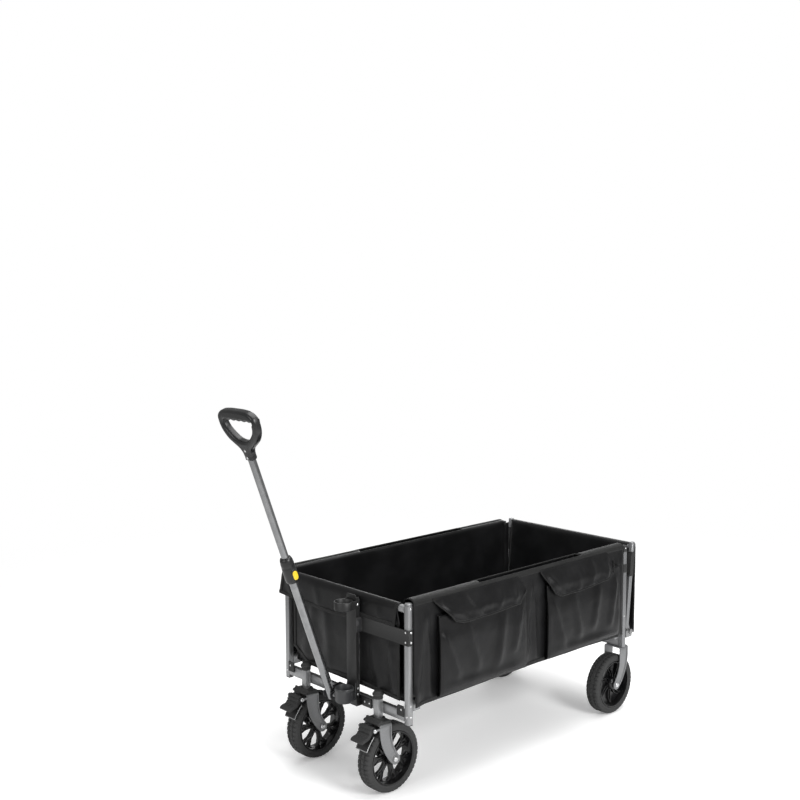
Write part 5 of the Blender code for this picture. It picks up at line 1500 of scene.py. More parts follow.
@dataclass
class PullHandle:
    """The telescopic handle: bracket, tubes, collar with its button, and the D-shaped grip."""

    pivot: tuple[float, float, float] = (0.0, -0.497, 0.2345)
    lean: float = math.radians(20.4)
    lower: float = 0.0115
    upper: float = 0.0097
    wall: float = 0.0015
    collar_start: float = 0.342
    collar_length: float = 0.07
    button_at: float = 0.364
    grip_start: float = 0.686
    grip_half: float = 0.0745
    grip_height: float = 0.1345
    grip_thickness: float = 0.0225
    grip_edge: float = 0.0074
    bar: float = 0.026
    ridges: int = 5

    def on(self, along: float, across: float = 0.0, out: float = 0.0) -> Vector:
        """A point of the handle: so far along it, to the side, and out from its front face."""
        way = Vector((0.0, -math.sin(self.lean), math.cos(self.lean)))
        face = Vector((0.0, -way.z, way.y))
        return Vector(self.pivot) + way * along + Vector((across, 0, 0)) + face * out

    def build(self) -> None:
        """Builds the whole handle."""
        coat("handle_bracket", Finish.DARK_BRACKET, 0.0005)
        self.build_bracket()
        self.build_tubes()
        self.build_collar()
        self.build_grip()

    def build_bracket(self) -> None:
        """The pivot's bolt, and the ribs on the outside of the cheeks."""
        y, z = self.pivot[1:]
        reach, rib, pitch = 0.0153, 0.0022, 0.0062
        head = [(0, 0.002), (0.0045, 0.0018), (0.006, 0.0008), (0.006, 0), (0.004, 0)]
        profile = mirrored([(r, -reach - high) for r, high in head])
        bolt = lathe(profile, 28, (1, 0, 0), (0, y, z))
        publish("handle_bolt", bolt, Finish.BRIGHT, "frame", ["handle_pin"])
        ribs = []
        for side in (-1, 1):
            for low in (z - 0.0135 + i * pitch for i in range(5)):
                across = (side * 0.0148, side * 0.0162)
                ribs.append(box(across, (y + 0.012, -0.456), (low, low + rib), 0.0006))
        publish("handle_bracket_ribs", gathered(ribs), Finish.DARK_BRACKET, "frame")

    def build_tubes(self) -> None:
        """The two sliding tubes, open below with their wall showing."""
        way = self.on(1.0) - self.on(0.0)
        for name, radius, start, end, body in (
            ("lower", self.lower, -0.012, self.collar_start + 0.023, "handle"),
            ("upper", self.upper, self.collar_start - 0.07, self.grip_start + 0.016, "handle_inner"),
        ):
            bore, length, edge = radius - self.wall, end - start, 0.0004
            profile = [(bore, 0.0003), (radius - edge, 0), (radius, edge), (radius, length), (bore, length)]
            tube = lathe(profile, 56, way, self.on(start))
            publish(f"handle_{name}", tube, Finish.TUBE, body, [f"handle_tube_{name}"])

    def build_collar(self) -> None:
        """The moulded collar with two rings, its seat for the button, and the button."""
        outer, slide, top = self.lower + 0.0003, self.upper + 0.0003, self.collar_length
        profile = [
            (outer, 0.0), (0.014, 0.0), (0.0158, 0.0012), (0.0172, 0.0045), (0.018, 0.009), (0.018, 0.04),
            (0.0174, 0.044), (0.017, 0.0452), (0.0172, 0.0464), (0.0172, 0.056), (0.0166, 0.0582),
            (0.0166, 0.06), (0.016, 0.064), (0.0142, 0.069), (0.0126, top), (slide, top),
            (slide, 0.0234), (outer, 0.0233),
        ]
        collar = lathe(profile, 64, self.on(1.0) - self.on(0.0), self.on(self.collar_start))
        sleeve = gathered([collar, self.pill(0.017, 0.01, 0.0162, 0.0192)])
        publish("handle_sleeve", sleeve, Finish.GRIP_PLASTIC, "handle", ["handle_collar"])
        push = self.pill(0.012, 0.007, 0.015, 0.0213)
        publish("handle_push_button", push, Finish.YELLOW, "handle_button", ["handle_button"])

    def pill(self, half_long: float, radius: float, low: float, high: float) -> Shape:
        """A pill-shaped pad on the collar's right side.

        Args:
            half_long: Half its length.
            radius: The radius of its ends.
            low: Where it starts, from the handle's middle.
            high: Where it ends.

        Returns:
            The pad.
        """
        straight = half_long - radius
        outline = arc((straight, 0), radius, -90, 90, 16) + arc((-straight, 0), radius, 90, 270, 16)
        spots = [self.on(self.button_at + along, 0.0, out) for along, out in outline]
        return plate([[(spot.y, spot.z) for spot in spots]], "X", low, high, 0.0012, 3)

    def build_grip(self) -> None:
        """The D-shaped grip: a rounded ring with finger ridges under the bar and a neck over the tube."""
        half, height = self.grip_half, self.grip_height
        right = [
            (0.007, 0.0), (0.012, 0.0016), (0.013, 0.006), (0.0133, 0.014), (0.0158, 0.023),
            (0.0232, 0.0325), (half * 0.5, 0.042), (half * 0.75, 0.056), (half * 0.94, 0.077), (half, 0.099),
            (half * 0.95, height - 0.016), (half * 0.72, height - 0.004), (half * 0.36, height - 0.0004),
        ]
        outside = smooth_loop([*right, (0.0, height), *((-a, b) for a, b in reversed(right))], 6)
        bar, reach, ridge = height - self.bar, half * 0.72, 0.0024
        hole = []
        for share in spaced(0.0, 1.0, 61):
            wave = (1 - math.cos(math.tau * self.ridges * share)) / 2
            hole.append((mix(reach, -reach, share), bar - ridge * (1 - wave)))
        low = [(-reach, bar), (-half * 0.77, bar - 0.01)]
        low += [(-half * 0.67, bar - 0.029), (-half * 0.34, bar - 0.05)]
        floor = [*low, (0.0, bar - 0.0565), *((-a, b) for a, b in reversed(low))]
        hole += smooth_loop(floor, 6)[6:-6]
        thick = self.grip_thickness / 2
        grip = plate([outside, hole], "Z", -thick, thick, self.grip_edge, 5)
        along, out = self.on(1.0) - self.on(0.0), self.on(0.0, 0.0, 1.0) - self.on(0.0)
        stand = Matrix((Vector((1, 0, 0)), along, out)).transposed().to_4x4()
        stand.translation = self.on(self.grip_start)
        bmesh.ops.transform(grip, matrix=stand, verts=grip.verts)
        publish("grip", grip, Finish.GRIP_PLASTIC, "handle_inner", ["handle_grip"], 50)
        screws = [domed(0.0036, 0.0014, self.on(at, 0.0, 0.0112), out, 24) for at in (0.696, 0.715)]
        publish("grip_screws", gathered(screws), Finish.BRIGHT, "handle_inner")


@dataclass
class PoleHolder:
    """The column with its ring, cup and stay on the front of the frame."""

    x: float = 0.057
    y: float = -0.4995
    outer: float = 0.025
    inner: float = 0.022
    column_half: float = 0.019
    column_front: float = -0.4742
    column_back: float = -0.4642
    column_foot: float = 0.225
    column_top: float = 0.507
    column_corner: float = 0.006
    ring: Point = (0.472, 0.493)
    cup: Point = (0.227, 0.266)
    stay: Point = (0.41, 0.449)
    stay_steel: float = 0.0025
    stay_rivets: Point = (0.443, 0.418)

    def build(self) -> None:
        """Builds the whole pole holder."""
        self.build_column()
        self.build_ring()
        self.build_cup()
        self.build_stay()

    def build_column(self) -> None:
        """A folded channel with rounded top corners, its foot, a lighter strip on its rear right edge as
        painted highlight, and the rivets that hold what it carries.
        """
        left, right = self.x - self.column_half, self.x + self.column_half
        low, high, corner = self.column_foot, self.column_top, self.column_corner
        front, back, bend = self.column_front, self.column_back, high - corner
        outline = [(left, low), (right, low), (right, bend), *arc((right - corner, bend), corner, 0, 90, 6)]
        outline += arc((left + corner, bend), corner, 90, 180, 6)
        pieces = [plate([outline], "Y", front, front + 0.002, 0.0006)]
        for x in (left, right - 0.002):
            pieces.append(box((x, x + 0.002), (front + 0.0004, back), (low, bend), 0.0006))
        pieces.append(box((left, right + 0.038), (CROSS_FACE, -0.4543), (0.213, 0.238), 0.0007))
        pieces.append(box((left, right), (front + 0.0005, -0.455), (0.213, 0.229), 0.0007))
        publish("column", gathered(pieces), Finish.BLACK_STEEL, "frame", ["pole_column"])
        # A lighter strip along the column's rear right edge: a painted highlight on that edge
        lip = box((right - 0.0006, right + 0.0016), (back - 0.0014, back), (low + 0.02, high - 0.01), 0.0005)
        publish("column_edge_highlight", lip, Finish.DARK_BRACKET, "frame")
        rivet_heights = (0.483, 0.441, 0.419, 0.26, 0.244)
        heads = [domed(0.0026, 0.0011, (right, -0.4692, z), (1, 0, 0)) for z in rivet_heights]
        heads += [domed(0.0028, 0.001, (x, CROSS_FACE, 0.2255), (0, -1, 0)) for x in (0.088, 0.106)]
        publish("column_rivets", gathered(heads), Finish.BRIGHT, "frame")

    def build_ring(self) -> None:
        """The ring: a rolled band with bevelled rims and two tabs on the column."""
        low, high = self.ring
        inner, outer = self.inner, self.outer
        profile = [
            (inner, low + 0.001), (inner + 0.001, low), (outer - 0.0008, low), (outer, low + 0.0008),
            (outer, high - 0.0014), (outer - 0.001, high), (inner + 0.0006, high), (inner, high - 0.0008),
        ]
        pieces = [lathe(profile, 72, (0, 0, 1), (self.x, self.y, 0))]
        for side in (-1, 1):
            across = (self.x + side * 0.0193, self.x + side * 0.0213)
            pieces.append(box(across, (self.y + 0.013, self.column_back - 0.002), (low, high), 0.0006))
        publish("ring", gathered(pieces), Finish.BLACK_STEEL, "frame", ["pole_ring"])
        bolt = domed(0.0034, 0.0014, (self.x + 0.0213, -0.47, 0.4825), (1, 0, 0), 24)
        publish("ring_bolt", bolt, Finish.BRIGHT, "frame")

    def build_cup(self) -> None:
        """The cup: a moulded socket with a rim, a round foot and two gussets to the column."""
        low, high = self.cup
        outer, inner, floor = self.outer, self.inner, low + 0.004
        profile = [
            (0, low + 0.0006), (outer - 0.01, low),
            (outer - 0.005, low + 0.0006), (outer - 0.002, low + 0.003),
            (outer - 0.0005, low + 0.0075), (outer - 0.0005, high - 0.009), (outer, high - 0.0082),
            (outer, high - 0.001), (outer - 0.0008, high), (inner + 0.0006, high), (inner, high - 0.001),
            (inner, low + 0.0052), (inner - 0.0012, floor), (0, floor),
        ]
        pieces = [lathe(profile, 72, (0, 0, 1), (self.x, self.y, 0))]
        back = self.column_front + 0.0002
        wedge = [(self.y + 0.018, floor), (back, floor), (back, high + 0.01), (self.y + 0.0215, high - 0.004)]
        for x in (self.x - 0.0165, self.x + 0.0165):
            pieces.append(plate([wedge], "X", x - 0.0014, x + 0.0014, 0.0005))
        publish("cup", gathered(pieces), Finish.CUP_PLASTIC, "frame", ["pole_cup"])

    def build_stay(self) -> None:
        """The flat stay from the column to the right post, wrapped round it, with its rivets."""
        low, high = self.stay
        start = self.x + self.column_half + 0.0003
        steel, front, out = self.stay_steel, -0.4548, 0.2503
        tip, heel, bend = -0.4425, -0.4738, 0.0022
        outline = [(start, heel), (start, front - 0.006), (start + 0.0014, front - steel - 0.0004)]
        outline += [(start + 0.004, front - steel)]
        outline += arc((out + steel - bend, front - steel + bend), bend, -90, 0, 6)
        outline += [(out + steel, tip), (out, tip), (out, front + 0.0006), (out - 0.0006, front)]
        outline += [(start + 0.006, front), (start + steel, front - 0.0042), (start + steel, heel)]
        strap = plate([outline], "Z", low, high, 0.0006)
        publish("stay", strap, Finish.BLACK_STEEL, "frame", ["stay_strap"])
        across = (start + 0.0016, start + 0.003)
        tab = box(across, (heel - 0.001, front - 0.005), (low + 0.0006, high - 0.0006), 0.0005)
        publish("stay_tab", tab, Finish.DARK_BRACKET, "frame")
        heads = [domed(0.0032, 0.0013, (out + steel, -0.4478, z), (1, 0, 0), 24) for z in self.stay_rivets]
        heads += [domed(0.0026, 0.001, (POST_X, front - steel, z), (0, -1, 0)) for z in self.stay_rivets]
        publish("stay_rivets", gathered(heads), Finish.BRIGHT, "frame")


# The fabric tub


@dataclass(frozen=True)
class Fold:
    """A soft ridge in cloth between two places on it."""

    start: Point
    end: Point
    width: float
    height: float

    def lift(self, u: float, v: float) -> float:
        """How far the ridge lifts the cloth.

        Args:
            u: The first measure of a place on the cloth.
            v: The second measure.

        Returns:
            The lift at that place.
        """
        start, run = Vector(self.start), Vector(self.end) - Vector(self.start)
        share = (Vector((u, v)) - start).dot(run) / run.length_squared
        away = (Vector((u, v)) - start - run * share).length
        fade = eased(share / 0.25 + 0.5) * eased((1 - share) / 0.25 + 0.5)
        return self.height * fade * math.exp(-((away / self.width) ** 2))


def lifted(folds: Iterable[Fold], u: float, v: float) -> float:
    """How far several ridges lift the cloth at a place."""
    return sum(fold.lift(u, v) for fold in folds)


PIPING = circle((0, 0), 0.0019, 8)
TAPE_EDGE = [(-0.005, 0.0), (-0.0046, 0.0013), (-0.001, 0.0017)]
TAPE = TAPE_EDGE + [(-a, b) for a, b in reversed(TAPE_EDGE)]
WALL_STEP, LINING_STEP = 0.0062, 0.0082


def bound(edge: Sequence[Spot], out: Spot, proud: float = 0.0018, rise: float = 0.003) -> tuple[Shape, Shape]:
    """Binds an edge of cloth.

    Args:
        edge: The points of the tape's middle.
        out: The direction that faces away from the cloth.
        proud: How far outwards the stitches lie.
        rise: How far above the tape's middle they lie.

    Returns:
        The tape and its row of stitches.
    """
    seam = [Vector(point) + Vector(out) * proud + Vector((0, 0, rise)) for point in edge]
    return strip(edge, TAPE, out), stitches(seam, out)


@dataclass
class Pouch:
    """A pocket with bellows sides on a wall of the tub, and the flap that covers its mouth."""

    name: str
    span: Point
    foot: float
    mouth: float
    flap_high: Loop
    flap_low: Loop
    body_folds: Sequence[Fold]
    flap_folds: Sequence[Fold]
    seed: float
    depth: float = 0.0165
    flap_depth: float = 0.0205

    def across(self, share: float) -> Point:
        """Where the section of the pouch is.

        Args:
            share: The share of the way across it.

        Returns:
            The place along the wall, and the share of the depth.
        """
        low, high = self.span
        pleat = [(0.0, 0.0), (-0.0015, 0.12), (0.01, 0.24), (0.011, 0.52), (-0.004, 0.66), (-0.004, 0.92)]
        pleat += [(0.005, 1.0), (0.02, 1.03)]
        stops = shifted(pleat, low, 0) + [(low + (high - low) * s, 1.1) for s in (0.3, 0.5, 0.7)]
        stops += [(high - a, b) for a, b in reversed(pleat)]
        count = len(stops) - 1
        where = min(share * count, count - 1e-6)
        step, rest = int(where), where - int(where)
        (y0, d0), (y1, d1) = stops[step], stops[step + 1]
        return mix(y0, y1, rest), mix(d0, d1, rest)

    def bag(self, face: float) -> Callable[[float, float], Vector]:
        """Shapes the pouch on a wall.

        Args:
            face: Where the wall's face is.

        Returns:
            Where the pouch lies, for a share across it and a height step.
        """
        foot = self.foot
        rise = [(foot, 0.0), (foot - 0.0015, 0.45), (foot + 0.0015, 0.86), (foot + 0.01, 1.0)]

        def place(share: float, level: float) -> Vector:
            """Where a point of the pouch lies.

            Args:
                share: The share of the way across.
                level: The height step, of which the first three are the rounded foot.

            Returns:
                The point.
            """
            y, depth = self.across(share)
            if level < 3:
                step, rest = int(level), level - int(level)
                z = mix(rise[step][0], rise[step + 1][0], rest)
                scale = mix(rise[step][1], rise[step + 1][1], rest)
            else:
                z, scale = mix(rise[3][0], self.mouth, level - 3), 1.0
            up = (z - foot) / (self.mouth - foot)
            belly = 1.0 + 0.13 * math.sin(math.pi * min(1.0, up * 1.25)) - 0.3 * eased((up - 0.62) / 0.38)
            middle = min(1.0, 4.5 * share, 4.5 * (1 - share))
            ripple = lifted(self.body_folds, y, z) + crumple(y, z, 0.055, 0.0016, self.seed)
            ripple += crumple(y, z, 0.018, 0.0005, self.seed + 7)
            reach = self.depth * depth * scale * mix(1.0, belly, middle) + ripple * middle * scale
            sag = -0.0022 * math.sin(math.pi * share) * (1 - up) * scale
            return Vector((face + max(0.0003, reach), y, z + sag))

        return place

    def lid(self, face: float) -> Callable[[float, float], Vector]:
        """Shapes the flap on a wall.

        Args:
            face: Where the wall's face is.

        Returns:
            Where the flap lies, for a place along the wall and a share from its seam to its lower edge.
        """

        def place(y: float, share: float) -> Vector:
            """Where a point of the flap lies.

            Args:
                y: The place along the wall.
                share: The share of the way down.

            Returns:
                The point.
            """
            z = mix(through(self.flap_high, y, False), through(self.flap_low, y, False), share)
            drop = max(0.0, self.flap_high[0][1] - z)
            edge = min(y - self.flap_low[0][0], self.flap_low[-1][0] - y)
            out = self.flap_depth * eased(drop / 0.052) * mix(0.45, 1.0, eased(edge / 0.05))
            ripple = lifted(self.flap_folds, y, z) + crumple(y, z, 0.045, 0.0022, self.seed + 3)
            ripple += crumple(y, z, 0.016, 0.0006, self.seed + 11)
            curl = 0.0018 * eased((share - 0.8) / 0.2)
            return Vector((face + 0.0012 + out + ripple * eased(drop / 0.02) + curl, y, z))

        return place

    def build(self, tub: "FabricTub", side: str, way: int) -> None:
        """Sews the pouch, its flap, the binding and the stitches on one side of the tub.

        Args:
            tub: The tub that it is sewn to.
            side: The side's name.
            way: 1 for the right side and -1 for the left one.
        """
        face, out = tub.wall_x + 0.001, (1, 0, 0)
        bag, lid = self.bag(face), self.lid(face)
        rows = filled([0.0, 1.0, 2.0, 3.0], 0.5) + spaced(3.0, 4.0, 34)[1:]
        cloth = sheet(spaced(0.0, 1.0, 133), rows, bag)
        piece = tub.sew(f"{self.name}_pouch_{side}", cloth, Finish.SHELL, way)
        low, high = self.flap_low[0][0], self.flap_low[-1][0]
        ys = spaced(low, high, 96)
        cloth = sheet(ys, spaced(0.0, 1.0, 22), lid)
        piece = tub.sew(f"{self.name}_flap_{side}", cloth, Finish.SHELL, way)
        trim = strip([lid(y, 1.0) + Vector((0.0006, 0, 0.0008)) for y in ys], PIPING, out)
        tub.sew(f"{self.name}_flap_binding_{side}", trim, Finish.BINDING, way, False)
        seam_ys = spaced(low + 0.004, high - 0.004, 80)
        seam = stitches([lid(y, 0.93) + Vector((0.0008, 0, 0)) for y in seam_ys], out)
        mouth_seam = stitches([bag(s, 3.03) + Vector((0.0007, 0, 0)) for s in spaced(0.34, 0.66, 60)], out)
        tub.sew(f"{self.name}_seams_{side}", gathered([seam, mouth_seam]), Finish.THREAD, way, False)


FIRST_POUCH = Pouch(
    name="first",
    span=(-0.357, -0.035),
    foot=0.263,
    mouth=0.47,
    flap_high=((-0.376, 0.5155), (-0.052, 0.514), (-0.027, 0.476)),
    flap_low=(
        (-0.376, 0.512), (-0.314, 0.449), (-0.284, 0.44), (-0.181, 0.44), (-0.062, 0.446), (-0.027, 0.471)
    ),
    body_folds=(
        Fold((-0.35, 0.42), (-0.3, 0.3), 0.01, 0.0059),
        Fold((-0.27, 0.44), (-0.225, 0.31), 0.012, 0.0053),
        Fold((-0.12, 0.44), (-0.15, 0.3), 0.012, 0.0053),
        Fold((-0.052, 0.44), (-0.085, 0.32), 0.009, 0.0056),
        Fold((-0.33, 0.285), (-0.07, 0.278), 0.01, 0.0032),
    ),
    flap_folds=(
        Fold((-0.34, 0.49), (-0.27, 0.45), 0.008, 0.0025),
        Fold((-0.25, 0.505), (-0.215, 0.446), 0.01, 0.0022),
        Fold((-0.12, 0.505), (-0.15, 0.448), 0.01, 0.0024),
        Fold((-0.06, 0.5), (-0.085, 0.455), 0.008, 0.0025),
    ),
    seed=13.0,
)
SECOND_POUCH = Pouch(
    name="second",
    span=(0.066, 0.388),
    foot=0.26,
    mouth=0.468,
    flap_high=((0.041, 0.514), (0.345, 0.514), (0.37, 0.49)),
    flap_low=(
        (0.041, 0.508), (0.0815, 0.445), (0.108, 0.432), (0.2, 0.431),
        (0.316, 0.439), (0.366, 0.45), (0.37, 0.4855),
    ),
    body_folds=(
        Fold((0.08, 0.42), (0.125, 0.29), 0.01, 0.0063),
        Fold((0.17, 0.43), (0.2, 0.3), 0.012, 0.0053),
        Fold((0.29, 0.43), (0.262, 0.31), 0.012, 0.0049),
        Fold((0.372, 0.43), (0.342, 0.3), 0.009, 0.0059),
        Fold((0.1, 0.28), (0.35, 0.274), 0.01, 0.0032),
    ),
    flap_folds=(
        Fold((0.07, 0.495), (0.12, 0.442), 0.008, 0.0025),
        Fold((0.18, 0.505), (0.195, 0.44), 0.011, 0.0021),
        Fold((0.27, 0.505), (0.25, 0.44), 0.01, 0.0021),
        Fold((0.345, 0.5), (0.32, 0.448), 0.008, 0.0025),
    ),
    seed=23.0,
)

WALL_FOLDS = (
    Fold((-0.436, 0.26), (-0.405, 0.5), 0.012, 0.0045),
    Fold((-0.385, 0.27), (-0.398, 0.47), 0.009, 0.0031),
    Fold((-0.02, 0.26), (0.004, 0.5), 0.01, 0.0048),
    Fold((0.026, 0.27), (0.016, 0.44), 0.007, 0.0031),
    Fold((0.404, 0.25), (0.396, 0.47), 0.008, 0.005),
    Fold((0.422, 0.26), (0.418, 0.5), 0.006, 0.0025),
    Fold((-0.4, 0.256), (-0.04, 0.252), 0.006, 0.0028),
    Fold((0.03, 0.254), (0.4, 0.25), 0.006, 0.0028),
)
LINING_FOLDS = (
    Fold((-0.3, 0.27), (-0.26, 0.5), 0.02, 0.0014),
    Fold((0.05, 0.27), (0.02, 0.5), 0.024, 0.0014),
    Fold((0.3, 0.27), (0.33, 0.5), 0.02, 0.0014),
)
APRON_FOLDS = (
    Fold((-0.17, 0.28), (-0.12, 0.45), 0.016, 0.004),
    Fold((-0.06, 0.27), (-0.075, 0.44), 0.018, 0.0034),
    Fold((0.14, 0.27), (0.11, 0.4), 0.016, 0.0036),
    Fold((0.19, 0.28), (0.18, 0.4), 0.012, 0.003),
)
VALANCE_FOLDS = (
    Fold((-0.235, 0.5), (-0.215, 0.445), 0.01, 0.002),
    Fold((-0.11, 0.5), (-0.095, 0.44), 0.012, 0.002),
    Fold((0.0, 0.5), (0.01, 0.445), 0.01, 0.0018),
    Fold((0.14, 0.5), (0.15, 0.458), 0.01, 0.0014),
)
GATE_FOLDS = (
    Fold((-0.18, 0.25), (-0.15, 0.48), 0.016, 0.0034),
    Fold((-0.02, 0.26), (-0.04, 0.48), 0.018, 0.0034),
    Fold((0.12, 0.25), (0.15, 0.48), 0.016, 0.0034),
)


@dataclass
class FabricTub:
    """The sewn tub: sides of one sheet each, front apron, valance, floor, mat and the tailgate's panel."""

    wall_x: float = 0.2525
    liner_x: float = 0.2205
    foot: float = 0.2505
    hem_low: float = 0.5165
    hem_rise: float = 0.0073
    liner_foot: float = 0.2565
    liner_front: float = -0.436
    front: float = -0.4415
    rear: float = 0.43
    slot: Point = (-0.196, 0.234)
    slot_angles: Point = (42.0, 138.5)
    tube_z: float = 0.4985
    tube_reach: float = 0.0113
    panel_half: float = 0.2147
    cloth: float = 0.0013
    soft_edge: float = 62.0
    fold_from: tuple[float, float, float] = (0.0, -0.2997, 0.25)
    fold_keep: float = 0.2362

    def build(self) -> None:
        """Sews the whole tub."""
        for side, way in SIDES.items():
            self.build_side(side, way)
            self.build_side_trim(side, way)
            for pouch in (FIRST_POUCH, SECOND_POUCH):
                pouch.build(self, side, way)
            self.build_corners(side, way)
        self.build_apron()
        self.build_valance()
        self.build_floor()
        self.build_mat()
        self.build_gate_panel()

    def sew(
        self,
        name: str,
        shape: Shape,
        finish: Finish,
        way: int,
        open_sheet: bool = True,
        replaces: Iterable[str] = (),
    ) -> Piece:
        """Puts cloth on the tub's side or floor, mirrored for the left side, on the frame's body.

        Args:
            name: The piece's name.
            shape: Its shape on the right side.
            finish: Its finish.
            way: 1 for the right side or the middle, and -1 for the left side.
            open_sheet: Whether the shape is a sheet that needs its thickness.
            replaces: The CAD nodes that it stands for.

        Returns:
            The piece.
        """
        if way < 0:
            bmesh.ops.scale(shape, vec=(-1, 1, 1), verts=shape.verts)
            bmesh.ops.reverse_faces(shape, faces=shape.faces)
        thick = self.cloth if open_sheet else 0.0
        piece = publish(name, shape, finish, "frame", replaces, self.soft_edge, thick)
        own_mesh(piece)
        return piece

    def hang(self, name: str, shape: Shape, body: str, replaces: Iterable[str] = ()) -> None:
        """Puts a sheet on the tub that doesn't draw together.

        Args:
            name: The piece's name.
            shape: The open sheet.
            body: The CAD body that carries it.
            replaces: The CAD nodes that it stands for.
        """
        piece = publish(name, shape, Finish.SHELL, body, replaces, self.soft_edge, self.cloth)

    def hem(self, angle: float, y: float, proud: float = 0.0) -> Vector:
        """A point on the rolled top edge.

        Args:
            angle: The angle round the roll in degrees, from the outside over the top to the inside.
            y: The place along it.
            proud: How far the point stands above the cloth.

        Returns:
            The point.
        """
        middle, half = (self.wall_x + self.liner_x) / 2, (self.wall_x - self.liner_x) / 2
        turn = math.radians(angle)
        z = self.hem_low + (self.hem_rise + proud) * math.sin(turn)
        return Vector((middle + (half + proud) * math.cos(turn), y, z + crumple(y, angle, 0.09, 0.0006, 2.0)))

    def flare(self, y: float) -> float:
        """How far the wall's foot stands out beside the front post."""
        return 0.0075 * eased((-0.395 - y) / 0.05)

    def foot_wave(self, y: float, z: float) -> float:
        """How far the lower edge of the wall hangs down."""
        stops = ((-0.44, 0.0012), (-0.2, 0.003), (0.02, 0.0034), (0.22, 0.001), (0.43, -0.005))
        return through(stops, y) * eased((0.33 - z) / 0.08)

    def build_side(self, side: str, way: int) -> None:
        """One sheet from the wall's foot over the hem and down as the liner, with the slit for the arms.

        Args:
            side: The side's name.
            way: 1 for the right side and -1 for the left one.
        """
        first, last = self.slot_angles
        angles = [0, 12, 26, first, 62, 90, 118, last, 154, 168, 180]
        walls = [("out", z) for z in filled([self.foot, self.hem_low], WALL_STEP)[:-1]]
        lining = [("in", z) for z in filled([self.liner_foot, self.hem_low], LINING_STEP)[-2::-1]]
        path = walls + [("hem", a) for a in angles] + lining
        slit_rows = (len(walls) + angles.index(first), len(walls) + angles.index(last))

        def place(y: float, row: float) -> Vector:
            """Where a point of the side lies.

            Args:
                y: The place along the side.
                row: The number of the step on the way over the hem.

            Returns:
                The point.
            """
            kind, value = path[int(row)]
            if kind == "hem":
                return self.hem(value, y)
            fade = eased((self.hem_low - value) / 0.05)
            if kind == "out":
                ripple = lifted(WALL_FOLDS, y, value) + 0.0012 + crumple(y, value, 0.075, 0.0022, 1.5)
                ripple += crumple(y, value, 0.02, 0.0005, 5.5)
                flare = self.flare(y) * eased((0.315 - value) / 0.07)
                x = self.wall_x + max(-0.0006, ripple) * fade + flare
                return Vector((x, y, value + self.foot_wave(y, value)))
            ripple = lifted(LINING_FOLDS, y, value) + crumple(y, value, 0.11, 0.0012, 9.0)
            return Vector((self.liner_x - ripple * fade, y, value))

        def slit(y: float, row: float) -> bool:
            """Whether the cloth is cut away at a place."""
            open_slot = self.slot[0] < y < self.slot[1] and slit_rows[0] < row < slit_rows[1]
            return open_slot or (y < self.liner_front and row > len(path) - len(lining) - 0.5)

        columns = filled([self.front, self.liner_front, *self.slot, self.rear], WALL_STEP)
        wall = sheet(columns, range(len(path)), place, slit)
        piece = self.sew(f"side_cloth_{side}", wall, Finish.SHELL, way, replaces=[f"bag_side_{side}"])

    def hem_tape(self) -> Shape:
        """The matt tape that binds the hem, left open along the slit.

        Returns:
            The tape as an open sheet.
        """
        angles = [-6.0, 8.0, 24.0, self.slot_angles[0], 60.0, 80.0, 104.0]

        def slit(y: float, row: float) -> bool:
            """Whether the tape is cut away at a place."""
            return self.slot[0] < y < self.slot[1] and row > 3

        columns = filled([self.front + 0.001, *self.slot, self.rear - 0.001], WALL_STEP)
        return sheet(columns, range(len(angles)), lambda y, row: self.hem(angles[row], y, 0.0011), slit)

    def build_side_trim(self, side: str, way: int) -> None:
        """Bindings along the hem, the slit and the foot, and the seams beside them.

        Args:
            side: The side's name.
            way: 1 for the right side and -1 for the left one.
        """
        out = (1, 0, 0)
        ys = spaced(self.front + 0.001, self.rear - 0.001, 120)
        high = [(self.wall_x + 0.0008, y, self.hem_low - 0.0035) for y in ys]
        low_x, low_z = self.wall_x + 0.0022, self.foot + 0.0052
        low = [(low_x + self.flare(y) * 0.97, y, low_z + self.foot_wave(y, self.foot)) for y in ys]
        high_tape, high_seam = bound(high, out, 0.0017, -0.003)
        low_tape, low_seam = bound(low, out, 0.0017)
        corners = []
        for y, angle, shift in zip((0, 1, 1, 0), (0, 0, 1, 1), (0.0015, 0.0015, -0.0012, -0.0012)):
            roll = self.hem(self.slot_angles[angle], 0.0)
            level = self.hem_low + self.hem_rise * math.sin(math.radians(self.slot_angles[angle]))
            corners.append(Vector((roll.x + shift, self.slot[y], level)))
        around = [a.lerp(b, i / 12) for a, b in zip(corners, corners[1:] + corners[:1]) for i in range(12)]
        trims = [high_tape, low_tape, strip(around, PIPING, (0, 0, 1), True)]
        self.sew(f"hem_tape_{side}", self.hem_tape(), Finish.BINDING, way)
        self.sew(f"side_binding_{side}", gathered(trims), Finish.BINDING, way, False)
        self.sew(f"side_seams_{side}", gathered([high_seam, low_seam]), Finish.THREAD, way, False)

    def build_apron(self) -> None:
        """The front panel: from its foot up behind the stay, over the top tube and down as the liner."""
        foot, held_at, half = 0.2612, 0.488, self.panel_half
        over = arc((-POST_Y, self.tube_z), self.tube_reach, 180, 0, 8)
        rise = [(-0.4496, z) for z in filled([foot, 0.455], 0.0065)]
        rise += [(-0.451, 0.464), (-0.4542, 0.476), (-0.457, held_at)]
        down = [(-POST_Y + self.tube_reach, z) for z in filled([0.257, 0.49], LINING_STEP)][::-1]
        path = rise + over + down
        foot_line = ((-half, 0.3), (-0.185, 0.285), (-0.15, 0.2655), (0.06, 0.268), (half, foot))

